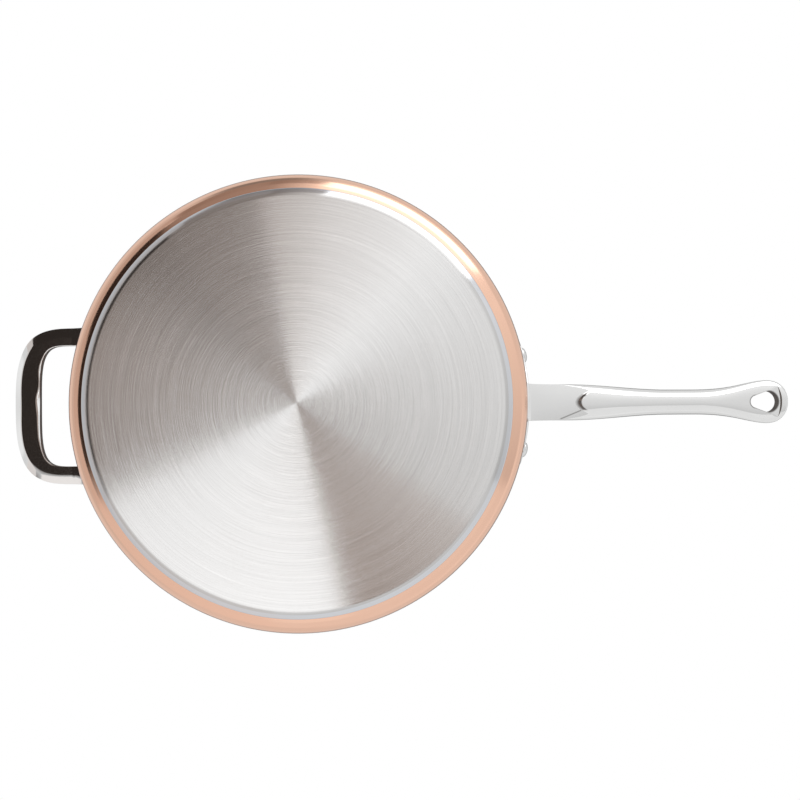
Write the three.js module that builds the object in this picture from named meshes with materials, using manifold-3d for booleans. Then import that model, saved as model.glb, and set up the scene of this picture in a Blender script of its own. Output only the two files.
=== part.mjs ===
// A shallow copper saucepan: a three-layer pan body on a steel-capped base disc, a cast long handle,
// a cast helper loop opposite it, and a lift-off steel lid with its own cast bridge handle.
// Millimetres, +Z up. The origin is the centre of the face that the pan stands on, and +X runs out
// along the long handle.
import * as THREE from "three";
import { mergeVertices } from "three/addons/utils/BufferGeometryUtils.js";
import Module from "manifold-3d";

const wasm = await Module();
wasm.setup();

// Facets. Every revolved piece shares one count and has the middle of a facet on +X, so that the
// layers nest, and the rivets, which sit on whole facets, meet flat ground.
const FACETS = 60;
const FACET = (2 * Math.PI) / FACETS;
const FLAT = Math.cos(FACET / 2);
const MERGE = 1e-4;
const OUTLINE_STEPS = 4;
const CORNER_STEPS = 3;
const LIP_STEPS = 2;
const EDGE_STEPS = 1;

// Pan body: copper outside, aluminium in the middle, stainless steel inside.
const WALL_RADIUS = 140;
const RIM_HEIGHT = 70;
const CORNER_RADIUS = 12;
const COPPER_PLY = 0.5;
const CORE_PLY = 1.7;
const LINER_PLY = 0.5;
const PLY_GAP = 0.05;
const WALL_THICKNESS = COPPER_PLY + CORE_PLY + LINER_PLY + 2 * PLY_GAP;
const LIP_RADIUS = 4;
const LIP_TURN = THREE.MathUtils.degToRad(45);

// Base disc: a steel cap with a sloped, rounded edge, pressed over an aluminium heat spreader.
const BASE_RADIUS = 130.25;
const BASE_HEIGHT = 4.6;
const BASE_FLAT_RADIUS = 126.9;
const BASE_EDGE = { slope: THREE.MathUtils.degToRad(38), innerRound: 1.2, outerRound: 1.6 };
const CAP_PLY = 0.8;
const CAP_SEAT = 0.1;

// Rivets that hold both handles to the wall.
const RIVET_HEIGHT = 46;
const RIVET_SHANK = 2.5;
const RIVET_HEAD = { radius: 4.8, height: 2.4 };
const RIVET_TAIL = { radius: 4.6, height: 1.6 };
const RIVET_CLEARANCE = 0.3;
const HEAD_CLEARANCE = 0.1;
const RIVET_SIDES = 12;
const DOME_STEPS = 2;
const DRILL_SIDES = 8;
const DRILL_LENGTH = 24;
const SEAT_GAP = 0.3;
const PAD_THICKNESS = 2;
const PAD_BOW = 0.4;
const PAD_OUTER = WALL_RADIUS + SEAT_GAP + PAD_THICKNESS;

// Long handle: a round bar with a winged flange, milled flat under its neck up to the grip's round
// nose, with a waist, and with a flat land about the hang hole in its paddle end.
const LONG_RIVET_ANGLE = 2 * FACET;
const FLANGE = { wingRadius: 9, hubHalfWidth: 13, hubHalfHeight: 15 };
const HANDLE_ROOT = { x: 136, z: 46 };
const HANDLE_TIP = { x: 316.3, z: 98 };
const HANDLE_RISE = { x: 186, z: 68 };
const HANDLE_CREST = { x: 262, z: 94 };
const NECK = { width: 22.7, halfThickness: 3.25, squareness: 9, roundStart: 152, roundEnd: 177 };
const ROOT_SWELL = { width: 4, thickness: 9, length: 7 };
const NOSE = { start: 165, x: 176, depth: 6.4, length: 13, halfWidth: 8.6 };
const GRIP = { depth: 8.4, fullX: 215, squareness: 2.35 };
const WAIST = { start: 170, x: 234, end: 246, width: 16.1 };
const PADDLE = { x: 302.3, radius: 14, depth: 4.85, squareness: 3, start: 258, growth: 1.7 };
const TIP_SQUARENESS = 3;
const HANG_HOLE = { x: 302.1, radius: 6.8, narrowX: 293.7, narrowRadius: 4 };
const HANG_LAND = { start: 280, startDepth: 7.2, tip: 311.5, tipDepth: 3.4, bend: 21.8 };
const CUT_REACH = 30;
const SPINE_ACCURACY = 1e-6;
const HANDLE_STEP = 6.5;
const TIP_STEPS = 5;
const TIP_GAP = 0.05;
const HANDLE_SIDES = 16;

// Helper loop: two winged feet and one bar, drawn as an outer and an inner super-ellipse. The bar's
// underside is flatter than its top, and its section leans up towards the outside.
const HELPER_LEG_ANGLE = 3 * FACET;
const HELPER_RIVET_SPREAD = FACET;
const HELPER_FOOT = { wingRadius: 7.5, hubHalfWidth: 7, hubHalfHeight: 9 };
const LOOP_START = 142;
const LOOP_OUTER = { reach: 38.2, halfWidth: 48.8, squareness: 3 };
const LOOP_INNER = { reach: 21.4, halfWidth: 37.7, squareness: 4.2 };
const LOOP_BAR = { top: 4.6, bottom: 2.8, squareness: 2.6, lean: THREE.MathUtils.degToRad(6) };
const LOOP_TILT = THREE.MathUtils.degToRad(6);
const LOOP_STEPS = 24;
const LOOP_SIDES = 12;
const LEG_SWELL = { width: 2, thickness: 1.5, length: 2.5 };
const LEG_STEPS = 4;

// Lid: one spun sheet with a flat crown, a shoulder, a locating channel and a rolled flange.
const LID_PLY = 1;
const LID_CROWN = { radius: 74, height: 15 };
const LID_SHOULDER = { radius: 124.5, height: 2.5, pull: 9 };
const LID_CHANNEL = { inner: 127.5, outer: 133.5, depth: 3.4 };
const LID_FLANGE = { inner: 136.2, outer: 140.8, curl: 1 };
const LID_CURVE_STEPS = 3;
const LID_SEAT = RIM_HEIGHT + SEAT_GAP + LID_PLY;

// Lid handle: a cast bridge with a flat foot at each end.
const BRIDGE_OUTER = { halfLength: 50, height: 37, squareness: 2.9 };
const BRIDGE_INNER = { halfLength: 40, height: 28, squareness: 3.2 };
const BRIDGE_WIDTH = 17;
const BRIDGE_SQUARENESS = 2.6;
const BRIDGE_STEPS = 18;
const BRIDGE_SIDES = 12;
const BRIDGE_FOOT = { thickness: 3, reach: 57, radius: 8.5, inner: 42 };
const LID_RIVET_SHANK = 2;
const LID_RIVET_HEAD = { radius: 4, height: 2 };
const LID_RIVET_TAIL = { radius: 4, height: 1.2 };

// Finishes
const COPPER = { color: 0xd8a084, roughness: 0.16, metalness: 1 };
const ALUMINIUM = { color: 0xb9bbbd, roughness: 0.45, metalness: 1 };
const SATIN_STEEL = { color: 0xc2c0bd, roughness: 0.34, metalness: 1 };
const BRUSHED_STEEL = { color: 0xc8c5c2, roughness: 0.4, metalness: 1 };
const POLISHED_STEEL = { color: 0xd9d9d8, roughness: 0.09, metalness: 1 };

// Turns a closed geometry into a solid that can be joined and cut.
function toSolid(geometry) {
  const plain = geometry.clone();
  plain.deleteAttribute("normal");
  plain.deleteAttribute("uv");
  const merged = mergeVertices(plain, MERGE);
  const corners = merged.index.array;
  const triangles = [];
  for (let at = 0; at < corners.length; at += 3) {
    const [a, b, c] = corners.slice(at, at + 3);
    if (a !== b && b !== c && c !== a) {
      triangles.push(a, b, c);
    }
  }
  const mesh = new wasm.Mesh({
    numProp: 3,
    vertProperties: new Float32Array(merged.attributes.position.array),
    triVerts: new Uint32Array(triangles),
  });
  return new wasm.Manifold(mesh);
}

// Turns a solid back into a geometry.
function toGeometry(solid) {
  const mesh = solid.getMesh();
  const geometry = new THREE.BufferGeometry();
  geometry.setAttribute("position", new THREE.BufferAttribute(mesh.vertProperties, 3));
  geometry.setIndex(new THREE.BufferAttribute(mesh.triVerts, 1));
  return geometry;
}

function smoothStep(from, to, x) {
  return THREE.MathUtils.smoothstep(x, from, to);
}

// Revolves a profile of (radius, height) points about +Z.
function revolve(profile, facets = FACETS) {
  const outline = THREE.ShapeUtils.isClockWise(profile) ? profile.slice().reverse() : profile;
  const lathe = new THREE.LatheGeometry(outline, facets, Math.PI / facets);
  return lathe.rotateX(Math.PI / 2);
}

// Shifts an open line to its left by a distance, with mitred corners.
function offsetLine(line, distance) {
  const along = line.slice(1).map((point, at) => point.clone().sub(line[at]).normalize());
  return line.map((point, at) => {
    const before = along[Math.max(at - 1, 0)];
    const after = along[Math.min(at, along.length - 1)];
    const tangent = before.clone().add(after).normalize();
    const stretch = distance / tangent.dot(after);
    return new THREE.Vector2(point.x - tangent.y * stretch, point.y + tangent.x * stretch);
  });
}

// The closed profile of a sheet that lies between two distances to the left of a line.
function sheetProfile(line, near, far) {
  return [...offsetLine(line, near), ...offsetLine(line, far).reverse()];
}

// The points of an arc, from one angle to another.
function arc(x, y, radius, from, to, steps) {
  return new THREE.EllipseCurve(x, y, radius, radius, from, to, to < from).getPoints(steps);
}

// Skins a row of closed rings, and closes both ends.
function loft(rings) {
  const sides = rings[0].length;
  const middle = (ring) => ring.reduce((sum, p) => sum.add(p), new THREE.Vector3()).divideScalar(sides);
  const points = [...rings.flat(), middle(rings[0]), middle(rings.at(-1))];
  const firstMiddle = points.length - 2;
  const lastMiddle = points.length - 1;
  const lastRing = (rings.length - 1) * sides;
  const index = [];
  for (let side = 0; side < sides; side++) {
    const next = (side + 1) % sides;
    for (let start = 0; start < lastRing; start += sides) {
      index.push(start + side, start + next, start + sides + next);
      index.push(start + side, start + sides + next, start + sides + side);
    }
    index.push(firstMiddle, next, side);
    index.push(lastMiddle, lastRing + side, lastRing + next);
  }
  return new THREE.BufferGeometry().setFromPoints(points).setIndex(index);
}

// A point of a super-ellipse: squareness 2 is round, and larger numbers are boxier.
function superEllipse(halfWidth, halfHeight, squareness, angle) {
  const bend = (value) => Math.sign(value) * Math.abs(value) ** (2 / squareness);
  return new THREE.Vector2(halfWidth * bend(Math.cos(angle)), halfHeight * bend(Math.sin(angle)));
}

// A closed super-ellipse ring about a centre, across two directions, with its own height on each side.
function ring(centre, across, up, halfWidth, top, bottom, squareness, sides) {
  return Array.from({ length: sides }, (_, side) => {
    const angle = ((side + 0.5) / sides) * 2 * Math.PI;
    const spot = superEllipse(halfWidth, angle < Math.PI ? top : bottom, squareness, angle);
    return centre.clone().addScaledVector(across, spot.x).addScaledVector(up, spot.y);
  });
}

// Extrudes an outline drawn in (x, y) along +Z.
function extrudeUp(shape, from, to) {
  const settings = { depth: to - from, bevelEnabled: false, curveSegments: OUTLINE_STEPS };
  return new THREE.ExtrudeGeometry(shape, settings).translate(0, 0, from);
}

// Extrudes an outline drawn in (y, z) along +X.
function extrudeAlongX(shape, from, to) {
  const turn = new THREE.Matrix4().makeBasis(
    new THREE.Vector3(0, 1, 0),
    new THREE.Vector3(0, 0, 1),
    new THREE.Vector3(1, 0, 0),
  );
  return extrudeUp(shape, from, to).applyMatrix4(turn);
}

// A plate that hugs the wall about +X: a hub that the casting leaves from, with a wing on each side.
function wallPad({ wingRadius, hubHalfWidth, hubHalfHeight }, wingSpan) {
  const bow = hubHalfWidth + PAD_BOW * (wingSpan - hubHalfWidth);
  const outline = new THREE.Shape();
  outline.moveTo(-hubHalfWidth, -hubHalfHeight);
  outline.lineTo(hubHalfWidth, -hubHalfHeight);
  outline.quadraticCurveTo(bow, -wingRadius, wingSpan, -wingRadius);
  outline.absarc(wingSpan, 0, wingRadius, -Math.PI / 2, Math.PI / 2, false);
  outline.quadraticCurveTo(bow, wingRadius, hubHalfWidth, hubHalfHeight);
  outline.lineTo(-hubHalfWidth, hubHalfHeight);
  outline.quadraticCurveTo(-bow, wingRadius, -wingSpan, wingRadius);
  outline.absarc(-wingSpan, 0, wingRadius, Math.PI / 2, (3 * Math.PI) / 2, false);
  outline.quadraticCurveTo(-bow, -wingRadius, -hubHalfWidth, -hubHalfHeight);
  const block = extrudeAlongX(outline, WALL_RADIUS / 2, 2 * WALL_RADIUS);
  const low = -2 * hubHalfHeight;
  const band = [
    new THREE.Vector2(WALL_RADIUS + SEAT_GAP, low),
    new THREE.Vector2(PAD_OUTER, low),
    new THREE.Vector2(PAD_OUTER, -low),
    new THREE.Vector2(WALL_RADIUS + SEAT_GAP, -low),
    new THREE.Vector2(WALL_RADIUS + SEAT_GAP, low),
  ];
  const pad = toSolid(revolve(band)).intersect(toSolid(block));
  return toGeometry(pad).translate(0, 0, RIVET_HEIGHT);
}

// The space that the wall takes, with the gap that a casting keeps to it.
function wallClearance() {
  const radius = WALL_RADIUS + SEAT_GAP;
  const profile = [
    new THREE.Vector2(0, 0),
    new THREE.Vector2(radius, 0),
    new THREE.Vector2(radius, RIM_HEIGHT),
    new THREE.Vector2(0, RIM_HEIGHT),
  ];
  return toSolid(revolve(profile));
}

// A round cutter through the wall at an angle about +Z, for a rivet's shank.
function wallDrill(angle) {
  const radius = RIVET_SHANK + RIVET_CLEARANCE;
  const cutter = new THREE.CylinderGeometry(radius, radius, DRILL_LENGTH, DRILL_SIDES);
  cutter.rotateZ(Math.PI / 2).translate(WALL_RADIUS, 0, RIVET_HEIGHT);
  return toSolid(cutter.rotateZ(angle));
}

function cutAll(solid, cutters) {
  return cutters.reduce((left, cutter) => left.subtract(cutter), solid);
}

// A rivet along +X with its outer head seated at x = 0 and its tail seated at x = -grip.
function rivetGeometry(shank, head, tail, grip) {
  const dome = (end, seat, sign) =>
    Array.from({ length: DOME_STEPS + 1 }, (_, step) => {
      const angle = (step / DOME_STEPS) * (Math.PI / 2);
      return new THREE.Vector2(end.radius * Math.cos(angle), seat + sign * end.height * Math.sin(angle));
    });
  const headDome = dome(head, HEAD_CLEARANCE, 1);
  const tailDome = dome(tail, -grip - HEAD_CLEARANCE, -1);
  headDome.at(-1).x = 0;
  tailDome.at(-1).x = 0;
  const profile = [
    ...tailDome.reverse(),
    new THREE.Vector2(shank, -grip - HEAD_CLEARANCE),
    new THREE.Vector2(shank, HEAD_CLEARANCE),
    ...headDome,
  ];
  return revolve(profile, RIVET_SIDES).rotateY(Math.PI / 2);
}

function part(name, geometry, finish) {
  const mesh = new THREE.Mesh(geometry, new THREE.MeshStandardMaterial(finish));
  mesh.name = name;
  return mesh;
}

// The outside line of the pan body: floor, rounded corner, straight wall and flared pouring lip.
function bodyLine() {
  const cornerX = WALL_RADIUS - CORNER_RADIUS;
  const cornerY = BASE_HEIGHT + CORNER_RADIUS;
  const lipX = WALL_RADIUS + LIP_RADIUS;
  const lipY = RIM_HEIGHT - (LIP_RADIUS + WALL_THICKNESS) * Math.sin(LIP_TURN);
  return [
    new THREE.Vector2(0, BASE_HEIGHT),
    ...arc(cornerX, cornerY, CORNER_RADIUS, -Math.PI / 2, 0, CORNER_STEPS),
    ...arc(lipX, lipY, LIP_RADIUS, Math.PI, Math.PI - LIP_TURN, LIP_STEPS),
  ];
}

const rivetAngles = [
  LONG_RIVET_ANGLE,
  -LONG_RIVET_ANGLE,
  ...[1, -1].flatMap((side) =>
    [1, -1].map((wing) => Math.PI + side * HELPER_LEG_ANGLE + wing * HELPER_RIVET_SPREAD),
  ),
];
const rivetHoles = rivetAngles.map(wallDrill);

function buildBody() {
  const line = bodyLine();
  const ply = (near, far) => toGeometry(cutAll(toSolid(revolve(sheetProfile(line, near, far))), rivetHoles));
  const coreNear = COPPER_PLY + PLY_GAP;
  const linerNear = coreNear + CORE_PLY + PLY_GAP;
  const body = new THREE.Group();
  body.add(part("copper_shell", ply(0, COPPER_PLY), COPPER));
  body.add(part("aluminium_core", ply(coreNear, coreNear + CORE_PLY), ALUMINIUM));
  body.add(part("steel_liner", ply(linerNear, linerNear + LINER_PLY), SATIN_STEEL));
  return body;
}

// The outside line of the base cap: flat face, quick turn, sloped edge and rounded side.
function capLine() {
  const { slope, innerRound, outerRound } = BASE_EDGE;
  const inner = arc(BASE_FLAT_RADIUS, innerRound, innerRound, -Math.PI / 2, slope - Math.PI / 2, EDGE_STEPS);
  const turnX = BASE_RADIUS - outerRound;
  const run = turnX + outerRound * Math.sin(slope) - inner.at(-1).x;
  const turnY = inner.at(-1).y + run * Math.tan(slope) + outerRound * Math.cos(slope);
  return [
    new THREE.Vector2(0, 0),
    ...inner,
    ...arc(turnX, turnY, outerRound, slope - Math.PI / 2, 0, EDGE_STEPS),
    new THREE.Vector2(BASE_RADIUS, BASE_HEIGHT - CAP_SEAT),
  ];
}

function buildBase() {
  const line = capLine();
  const inside = offsetLine(line, CAP_PLY + PLY_GAP);
  const spreader = [...inside, new THREE.Vector2(0, inside.at(-1).y)];
  const base = new THREE.Group();
  base.add(part("base_cap", revolve(sheetProfile(line, 0, CAP_PLY)), BRUSHED_STEEL));
  base.add(part("base_spreader", revolve(spreader), ALUMINIUM));
  return base;
}

// Width of the long handle at a distance from the pan's axis.
function handleWidth(x) {
  if (x > PADDLE.x) {
    return 2 * Math.sqrt(Math.max(PADDLE.radius ** 2 - (x - PADDLE.x) ** 2, 0));
  }
  if (x > WAIST.end) {
    const growth = ((x - WAIST.end) / (PADDLE.x - WAIST.end)) ** PADDLE.growth;
    return THREE.MathUtils.lerp(WAIST.width, 2 * PADDLE.radius, smoothStep(0, 1, growth));
  }
  const root = ROOT_SWELL.width * Math.exp((WALL_RADIUS - x) / ROOT_SWELL.length);
  return root + THREE.MathUtils.lerp(NECK.width, WAIST.width, smoothStep(WAIST.start, WAIST.x, x));
}

// One cross-section of the long handle's bar, before its flats are milled. It rounds off at the tip.
function handleRing(spine, x) {
  const paddle = smoothStep(PADDLE.start, PADDLE.x, x);
  const nose = THREE.MathUtils.lerp(NECK.halfThickness, NOSE.depth, smoothStep(NOSE.start, NOSE.x, x));
  const grip = THREE.MathUtils.lerp(nose, GRIP.depth, smoothStep(NOSE.x, GRIP.fullX, x));
  const round = smoothStep(NECK.roundStart, NECK.roundEnd, x);
  const bar = THREE.MathUtils.lerp(NECK.squareness, GRIP.squareness, round);
  const squareness = THREE.MathUtils.lerp(bar, PADDLE.squareness, paddle);
  const past = Math.max(x - PADDLE.x, 0) / PADDLE.radius;
  const end = (1 - past ** TIP_SQUARENESS) ** (1 / TIP_SQUARENESS);
  const swell = (ROOT_SWELL.thickness / 2) * Math.exp((WALL_RADIUS - x) / ROOT_SWELL.length);
  const top = NECK.halfThickness * end + swell;
  const bottom = THREE.MathUtils.lerp(grip, PADDLE.depth, paddle) * end + swell;
  const centre = new THREE.Vector3(x, 0, spine(x));
  const across = new THREE.Vector3(0, 1, 0);
  const up = new THREE.Vector3(0, 0, 1);
  return ring(centre, across, up, handleWidth(x) / 2, top, bottom, squareness, HANDLE_SIDES);
}

// The height of the long handle's middle line at a distance from the pan's axis.
function handleSpine() {
  const curve = new THREE.CubicBezierCurve(
    new THREE.Vector2(HANDLE_ROOT.x, HANDLE_ROOT.z),
    new THREE.Vector2(HANDLE_RISE.x, HANDLE_RISE.z),
    new THREE.Vector2(HANDLE_CREST.x, HANDLE_CREST.z),
    new THREE.Vector2(HANDLE_TIP.x, HANDLE_TIP.z),
  );
  return (x) => {
    let low = 0;
    let high = 1;
    while (high - low > SPINE_ACCURACY) {
      const half = (low + high) / 2;
      if (curve.getPoint(half).x < x) {
        low = half;
      } else {
        high = half;
      }
    }
    return curve.getPoint(low).y;
  };
}

// A block that mills a flat into the bar's underside. Its outline is drawn from the flat's first point.
function millBlock(outline, from, to) {
  const slope = Math.atan2(to.y - from.y, to.x - from.x);
  return extrudeUp(outline, -CUT_REACH, 0).rotateY(-slope).translate(from.x, 0, from.y);
}

// The flat under the neck, which goes round the nose of the grip.
function neckFlat(spine) {
  const from = new THREE.Vector2(NOSE.start, spine(NOSE.start) - NECK.halfThickness);
  const to = new THREE.Vector2(NOSE.x, spine(NOSE.x) - NECK.halfThickness);
  const end = from.distanceTo(to) + NOSE.length;
  const outline = new THREE.Shape();
  outline.moveTo(0, -NECK.width);
  outline.lineTo(end, -NECK.width);
  outline.absellipse(end, 0, NOSE.length, NOSE.halfWidth, -Math.PI / 2, Math.PI / 2, true);
  outline.lineTo(end, NECK.width);
  outline.lineTo(0, NECK.width);
  return millBlock(outline, from, to);
}

// The flat land about the hang hole, which ends in an arc before the tip.
function hangLand(spine) {
  const { start, startDepth, tip, tipDepth, bend } = HANG_LAND;
  const from = new THREE.Vector2(start, spine(start) - startDepth);
  const to = new THREE.Vector2(tip, spine(tip) - tipDepth);
  const end = from.distanceTo(to);
  const half = Math.asin(PADDLE.radius / bend);
  const outline = new THREE.Shape();
  outline.moveTo(0, -PADDLE.radius);
  outline.absarc(end - bend, 0, bend, -half, half, false);
  outline.lineTo(0, PADDLE.radius);
  return millBlock(outline, from, to);
}

// The teardrop of the hang hole, as a block through the paddle.
function hangHole(spine) {
  const { x, radius, narrowX, narrowRadius } = HANG_HOLE;
  const tilt = Math.acos((radius - narrowRadius) / (x - narrowX));
  const outline = new THREE.Shape();
  outline.absarc(x, 0, radius, tilt - Math.PI, Math.PI - tilt, false);
  outline.absarc(narrowX, 0, narrowRadius, Math.PI - tilt, Math.PI + tilt, false);
  return extrudeUp(outline, spine(x) - CUT_REACH, spine(x) + CUT_REACH);
}

function buildLongHandle() {
  const spine = handleSpine();
  const stations = [];
  for (let x = HANDLE_ROOT.x; x < PADDLE.x - HANDLE_STEP / 2; x += HANDLE_STEP) {
    stations.push(x);
  }
  for (let step = 0; step < TIP_STEPS; step++) {
    stations.push(PADDLE.x + PADDLE.radius * Math.sin((step / TIP_STEPS) * (Math.PI / 2)));
  }
  stations.push(HANDLE_TIP.x - TIP_GAP);
  const bar = toSolid(loft(stations.map((x) => handleRing(spine, x)))).subtract(wallClearance());
  const flats = [neckFlat, hangLand, hangHole].map((cut) => toSolid(cut(spine)));
  const flange = toSolid(wallPad(FLANGE, WALL_RADIUS * Math.sin(LONG_RIVET_ANGLE)));
  const drills = [LONG_RIVET_ANGLE, -LONG_RIVET_ANGLE].map(wallDrill);
  const casting = cutAll(cutAll(bar, flats).add(flange), drills);
  return part("long_handle", toGeometry(casting), POLISHED_STEEL);
}

// One cross-section of the helper loop, at an angle of its two super-ellipses.
function loopRing(angle) {
  const { reach: outerReach, halfWidth: outerHalf, squareness: outerSquare } = LOOP_OUTER;
  const { reach: innerReach, halfWidth: innerHalf, squareness: innerSquare } = LOOP_INNER;
  const outer = superEllipse(outerReach, outerHalf, outerSquare, angle);
  const inner = superEllipse(innerReach, innerHalf, innerSquare, angle);
  return barRing(outer, inner, 0);
}

// A cross-section of the loop's bar between an outer and an inner point, swollen towards its foot.
function barRing(outer, inner, swell) {
  const place = (spot) => {
    const out = LOOP_START - WALL_RADIUS + spot.x;
    return new THREE.Vector3(WALL_RADIUS + out, spot.y, RIVET_HEIGHT + out * Math.tan(LOOP_TILT));
  };
  const from = place(inner);
  const to = place(outer);
  const centre = from.clone().add(to).divideScalar(2);
  const across = to.clone().sub(from).normalize();
  const up = new THREE.Vector3(-Math.sin(LOOP_TILT), 0, Math.cos(LOOP_TILT));
  const leaning = across.clone().addScaledVector(up, Math.tan(LOOP_BAR.lean));
  const halfWidth = (from.distanceTo(to) + swell * LEG_SWELL.width) / 2;
  const top = LOOP_BAR.top + swell * LEG_SWELL.thickness;
  const bottom = LOOP_BAR.bottom + swell * LEG_SWELL.thickness;
  return ring(centre, leaning, up, halfWidth, top, bottom, LOOP_BAR.squareness, LOOP_SIDES);
}

// The straight stretch of the loop between its foot and the curve.
function legRings(side) {
  const start = WALL_RADIUS * Math.cos(HELPER_LEG_ANGLE) - PAD_THICKNESS;
  return Array.from({ length: LEG_STEPS }, (_, step) => {
    const x = THREE.MathUtils.lerp(start, LOOP_START, step / LEG_STEPS);
    const swell = Math.exp((start + 2 * PAD_THICKNESS - x) / LEG_SWELL.length);
    const outer = new THREE.Vector2(x - LOOP_START, side * LOOP_OUTER.halfWidth);
    const inner = new THREE.Vector2(x - LOOP_START, side * LOOP_INNER.halfWidth);
    return barRing(outer, inner, Math.min(swell, 1));
  });
}

// The helper handle about +X, with its rivets. The group that holds it is turned round to -X.
function buildHelper() {
  const curve = [];
  for (let step = 0; step <= LOOP_STEPS; step++) {
    curve.push(loopRing(Math.PI / 2 - (step / LOOP_STEPS) * Math.PI));
  }
  const bar = toSolid(loft([...legRings(1), ...curve, ...legRings(-1).reverse()])).subtract(wallClearance());
  const sides = [1, -1];
  const feet = sides.map((side) => {
    const foot = wallPad(HELPER_FOOT, WALL_RADIUS * Math.sin(HELPER_RIVET_SPREAD));
    return toSolid(foot.rotateZ(side * HELPER_LEG_ANGLE));
  });
  const spots = sides.flatMap((side) =>
    sides.map((wing) => side * HELPER_LEG_ANGLE + wing * HELPER_RIVET_SPREAD),
  );
  const casting = cutAll(feet.reduce((whole, foot) => whole.add(foot), bar), spots.map(wallDrill));
  const helper = new THREE.Group();
  helper.add(part("helper_handle", toGeometry(casting), POLISHED_STEEL));
  spots.forEach((angle, at) => helper.add(wallRivet(`helper_rivet_${at + 1}`, angle)));
  helper.rotation.z = Math.PI;
  return helper;
}

// A rivet through the wall and a handle's pad, at an angle about +Z.
function wallRivet(name, angle) {
  const seat = PAD_OUTER * FLAT;
  const grip = seat - (WALL_RADIUS - WALL_THICKNESS) * FLAT;
  const rivet = part(name, rivetGeometry(RIVET_SHANK, RIVET_HEAD, RIVET_TAIL, grip), POLISHED_STEEL);
  rivet.position.set(seat * Math.cos(angle), seat * Math.sin(angle), RIVET_HEIGHT);
  rivet.rotation.z = angle;
  return rivet;
}

// The top line of the lid's sheet, from its middle out to the rolled edge. Height 0 is the flange.
function lidLine() {
  const { radius, height } = LID_CROWN;
  const { inner, outer, depth } = LID_CHANNEL;
  const shoulder = new THREE.CubicBezierCurve(
    new THREE.Vector2(radius, height),
    new THREE.Vector2((radius + LID_SHOULDER.radius) / 2, height),
    new THREE.Vector2(LID_SHOULDER.radius - LID_SHOULDER.pull, LID_SHOULDER.pull),
    new THREE.Vector2(LID_SHOULDER.radius, LID_SHOULDER.height),
  );
  return [
    new THREE.Vector2(0, height),
    ...shoulder.getPoints(LID_CURVE_STEPS),
    new THREE.Vector2(inner, -depth),
    new THREE.Vector2(outer, -depth),
    new THREE.Vector2(LID_FLANGE.inner, 0),
    new THREE.Vector2(LID_FLANGE.outer, 0),
    new THREE.Vector2(LID_FLANGE.outer + LID_FLANGE.curl, -LID_FLANGE.curl),
  ];
}

// A cutter down through the lid's crown and a handle's foot, for a rivet's shank.
function lidDrill(side) {
  const radius = LID_RIVET_SHANK + RIVET_CLEARANCE;
  const cutter = new THREE.CylinderGeometry(radius, radius, 2 * LID_CROWN.height, DRILL_SIDES);
  return toSolid(cutter.rotateX(Math.PI / 2).translate(side * BRIDGE_FOOT.reach, 0, LID_CROWN.height));
}

// A cross-section of the lid's bridge, at an angle of its two super-ellipses.
function bridgeRing(angle) {
  const outer = superEllipse(BRIDGE_OUTER.halfLength, BRIDGE_OUTER.height, BRIDGE_OUTER.squareness, angle);
  const inner = superEllipse(BRIDGE_INNER.halfLength, BRIDGE_INNER.height, BRIDGE_INNER.squareness, angle);
  const lift = LID_CROWN.height + SEAT_GAP + BRIDGE_FOOT.thickness / 2;
  const from = new THREE.Vector3(inner.x, 0, lift + inner.y);
  const to = new THREE.Vector3(outer.x, 0, lift + outer.y);
  const centre = from.clone().add(to).divideScalar(2);
  const across = to.clone().sub(from).normalize();
  const up = new THREE.Vector3(0, -1, 0);
  const halfWidth = BRIDGE_WIDTH / 2;
  return ring(
    centre, across, up, from.distanceTo(to) / 2, halfWidth, halfWidth, BRIDGE_SQUARENESS, BRIDGE_SIDES,
  );
}

// A flat foot of the lid's bridge, with a round end about its rivet.
function bridgeFoot(side) {
  const { thickness, reach, radius, inner } = BRIDGE_FOOT;
  const outline = new THREE.Shape();
  outline.absarc(reach, 0, radius, -Math.PI / 2, Math.PI / 2, false);
  outline.lineTo(inner, radius);
  outline.lineTo(inner, -radius);
  const bottom = LID_CROWN.height + SEAT_GAP;
  const foot = extrudeUp(outline, bottom, bottom + thickness);
  return toSolid(side > 0 ? foot : foot.rotateZ(Math.PI));
}

// The lid with its handle and rivets, seated on the rim.
function buildLid() {
  const sides = [1, -1];
  const drills = sides.map(lidDrill);
  const sheet = toSolid(revolve(sheetProfile(lidLine(), 0, -LID_PLY)));
  const rings = [];
  for (let step = 0; step <= BRIDGE_STEPS; step++) {
    rings.push(bridgeRing(Math.PI - (step / BRIDGE_STEPS) * Math.PI));
  }
  const bridge = sides.map(bridgeFoot).reduce((whole, foot) => whole.add(foot), toSolid(loft(rings)));
  const lid = new THREE.Group();
  lid.add(part("lid_shell", toGeometry(cutAll(sheet, drills)), SATIN_STEEL));
  lid.add(part("lid_handle", toGeometry(cutAll(bridge, drills)), POLISHED_STEEL));
  const grip = BRIDGE_FOOT.thickness + SEAT_GAP + LID_PLY;
  sides.forEach((side, at) => {
    const geometry = rivetGeometry(LID_RIVET_SHANK, LID_RIVET_HEAD, LID_RIVET_TAIL, grip);
    const rivet = part(`lid_rivet_${at + 1}`, geometry, POLISHED_STEEL);
    rivet.position.set(side * BRIDGE_FOOT.reach, 0, LID_CROWN.height + SEAT_GAP + BRIDGE_FOOT.thickness);
    rivet.rotation.y = -Math.PI / 2;
    lid.add(rivet);
  });
  lid.position.z = LID_SEAT;
  return lid;
}

const saucepan = new THREE.Group();
saucepan.add(buildBody());
saucepan.add(buildBase());
saucepan.add(buildLongHandle());
saucepan.add(wallRivet("long_handle_rivet_1", LONG_RIVET_ANGLE));
saucepan.add(wallRivet("long_handle_rivet_2", -LONG_RIVET_ANGLE));
saucepan.add(buildHelper());
saucepan.add(buildLid());

export default saucepan;
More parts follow.
